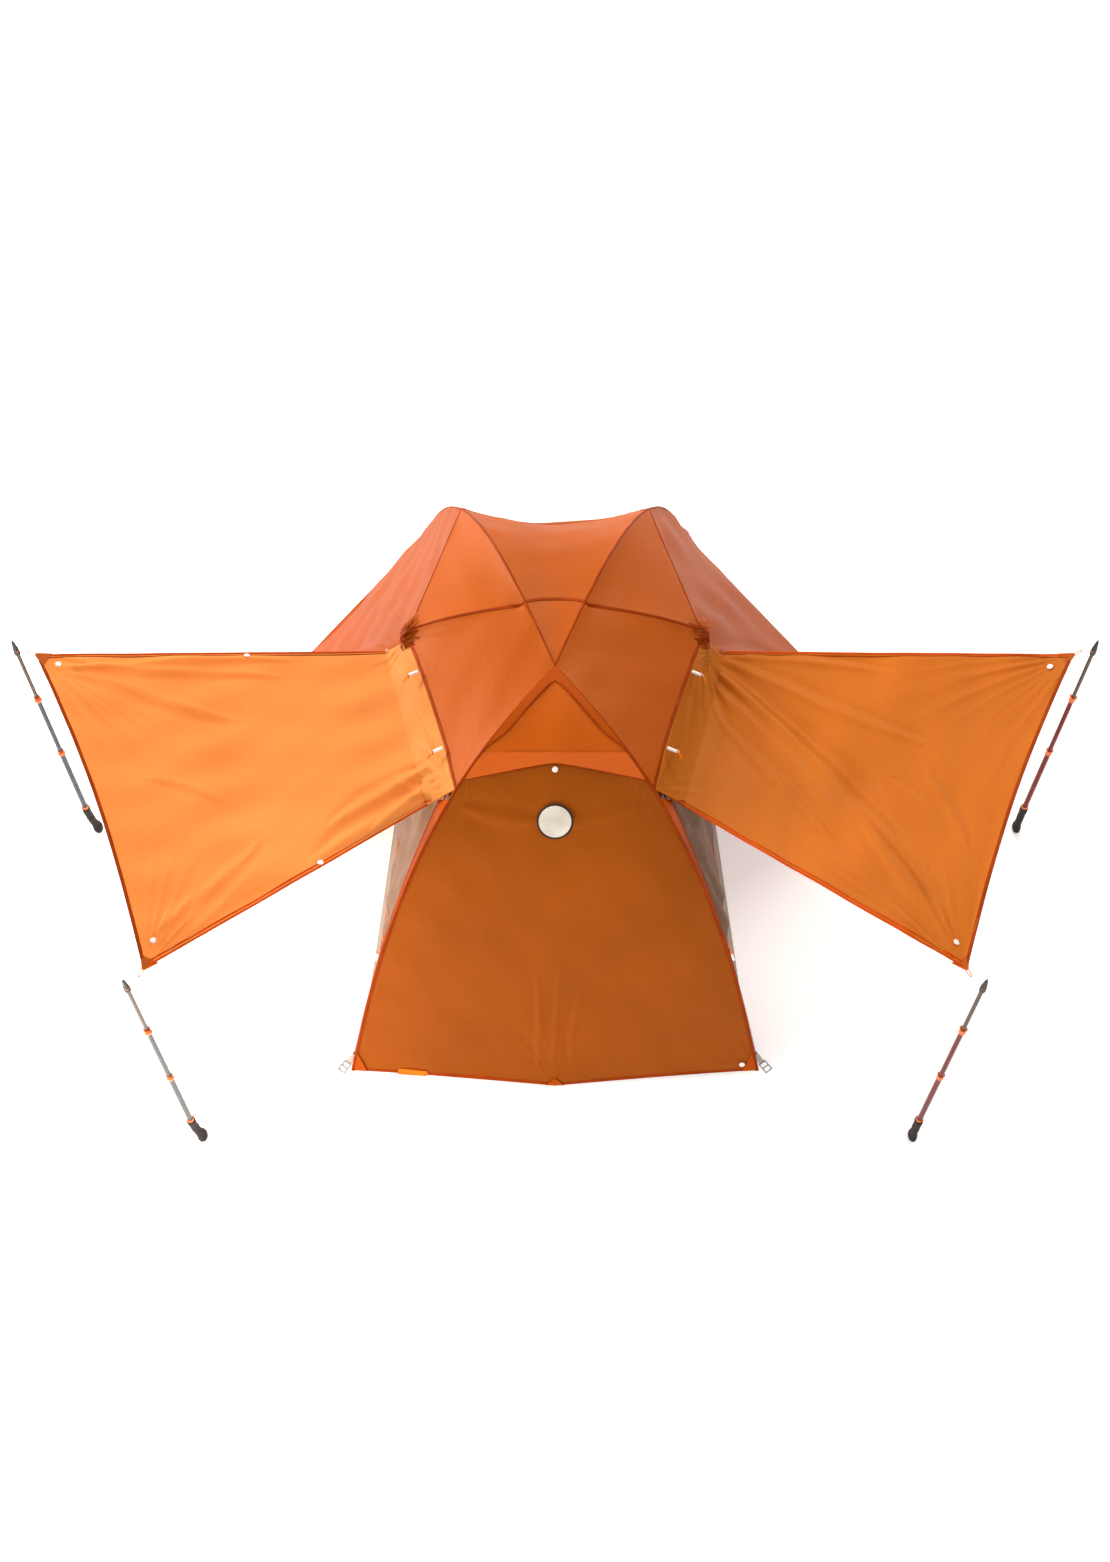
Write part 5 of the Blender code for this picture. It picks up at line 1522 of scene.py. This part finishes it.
def pole_lower(prefix, base, side, bottom, top):
    """The last tube with its small basket, the tip's holder and the tip."""
    profiles = [
        (collar(0.0062, bottom, top - 0.068), "tip_tube", 24),
        ([(0.0, top - 0.078), (0.0068, top - 0.078), (0.0094, top - 0.073),
          (0.0095, top - 0.062), (0.0078, top - 0.060), (0.0, top - 0.060)], "plastic", 26),
        ([(0.0, top - 0.061), (0.0076, top - 0.061), (0.0078, top - 0.054),
          (0.0, top - 0.054)], "clamp", 26),
        ([(0.0, top - 0.055), (0.0088, top - 0.055), (0.0092, top - 0.050),
          (0.0072, top - 0.036), (0.0050, top - 0.016), (0.0040, top - 0.010),
          (0.0, top - 0.010)], "plastic", 26),
        ([(0.0, top - 0.012), (0.0030, top - 0.012), (0.0028, top - 0.006),
          (0.0022, top - 0.003), (0.0012, top), (0.0, top)], "carbide", 18),
    ]
    low = Piece(f"{prefix}_lower_shaft")
    for profile, material, sides in profiles:
        low.lathe(profile, base, UP, material, sides)
    low.make(f"{prefix}_lower", TUBE_SLOTS[side], [f"{prefix}_lower_tube"])


def pole_lever(prefix, key, base, side, height):
    """A clamp's lever, closed round its tube and thinner towards the free end."""
    lever = Piece(f"{prefix}_{key}_lever_arm")
    mid = base + UP * (height - 0.011)
    rows = []
    for share in np.linspace(0.0, 1.0, 22):
        angle = math.radians(125.0 * share)
        way = vec(math.cos(angle), side * math.sin(angle), 0.0)
        tall = 0.0076 * (1.0 - 0.35 * share ** 3)
        inner = 0.0117 + (0.0010 * smooth_step((share - 0.75) / 0.25))
        outer = 0.0139 + 0.0005 * math.sin(math.pi * share)
        rows.append([mid + way * inner - UP * tall, mid + way * outer - UP * tall * 0.86,
                     mid + way * (outer + 0.0004), mid + way * outer + UP * tall * 0.86,
                     mid + way * inner + UP * tall])
    lever.sweep(rows, "clamp")
    lever.make(f"{prefix}_{key}_lever", "lever_plastic", [f"{prefix}_{key}_lever"])


def build_poles():
    """The four trekking poles, each upside down with its grip on the ground."""
    for side, name in SIDES.items():
        for place in ("far", "near"):
            prefix = f"trek_{place}_{name}"
            upper_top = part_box(f"{prefix}_grip")[1][2]
            middle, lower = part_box(f"{prefix}_middle_tube"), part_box(f"{prefix}_lower_tube")
            base = middle_of(f"{prefix}_grip") * LEVEL
            pole_handle(prefix, base, side, upper_top)
            pole_middle(prefix, base, side, middle[0][2], upper_top, middle[1][2])
            pole_lower(prefix, base, side, lower[0][2], lower[1][2])
            pole_lever(prefix, "upper", base, side, upper_top)
            pole_lever(prefix, "lower", base, side, middle[1][2])


# ---------------------------------------------------------------- studio
STUDIO_REACH = 40.0
STUDIO_FLOOR_Z = -0.0006
WORLD_COLOUR = (1.0, 0.99, 0.98, 1.0)
WORLD_STRENGTH = 0.92
# Round lights: place, target, diameter, power, colour.
LIGHTS = {
    "veil_left": ((-5.0, 2.6, 2.4), (-0.4, 0.0, 0.8), 3.0, 430.0, (1.0, 0.94, 0.86)),
    "veil_top": ((1.2, 4.4, 4.6), (0.0, 0.2, 1.0), 2.4, 220.0, (1.0, 0.92, 0.84)),
    "veil_front": ((-1.5, -2.3, 0.8), (-0.4, -1.0, 0.3), 0.8, 40.0, (1.0, 0.86, 0.72)),
}
CAMERA_PLACE = (0.0, -3.455, 5.95)
CAMERA_TILT = 30.0
CAMERA_LENS = 43.47


def studio_floor():
    mesh = bpy.data.meshes.new("studio_floor")
    corners = [(STUDIO_REACH * x, STUDIO_REACH * y, STUDIO_FLOOR_Z)
               for x, y in ((-1, -1), (1, -1), (1, 1), (-1, 1))]
    mesh.from_pydata(corners, [], [(0, 1, 2, 3)])
    g = Graph("studio_floor_paint")
    paint = {"Base Color": (0.90, 0.90, 0.90), "Roughness": 0.9, "Specular IOR Level": 0.1,
             "Emission Color": (1.0, 1.0, 1.0), "Emission Strength": 0.30}
    mesh.materials.append(g.finish(g.add("BsdfPrincipled", paint)))
    add_object("studio_floor", mesh)


def build_studio():
    scene = bpy.context.scene
    scene.view_settings.view_transform = "Standard"
    scene.view_settings.look = "None"
    studio_floor()

    world = bpy.data.worlds.new("studio")
    world.use_nodes = True
    background = world.node_tree.nodes["Background"]
    background.inputs["Color"].default_value = WORLD_COLOUR
    background.inputs["Strength"].default_value = WORLD_STRENGTH
    scene.world = world

    for name, (place, target, size, power, colour) in LIGHTS.items():
        data = bpy.data.lights.new(name, "AREA")
        data.shape = "DISK"
        data.size = size
        data.energy = power
        data.color = colour
        lamp = add_object(name, data)
        lamp.location = place
        lamp.rotation_euler = (Vector(target) - Vector(place)).to_track_quat("-Z", "Y").to_euler()

    data = bpy.data.cameras.new("camera")
    data.sensor_width = 36.0
    data.lens = CAMERA_LENS
    camera = add_object("camera", data)
    camera.location = CAMERA_PLACE
    camera.rotation_euler = (math.radians(CAMERA_TILT), 0.0, 0.0)
    scene.camera = camera


build_studio()
build_head_end()
build_roof()
build_side_sheets()
build_seams()
build_gathers()
build_awnings()
build_inner()
build_floor()
build_frame()
build_corner_straps()
build_head_details()
build_side_details()
build_poles()
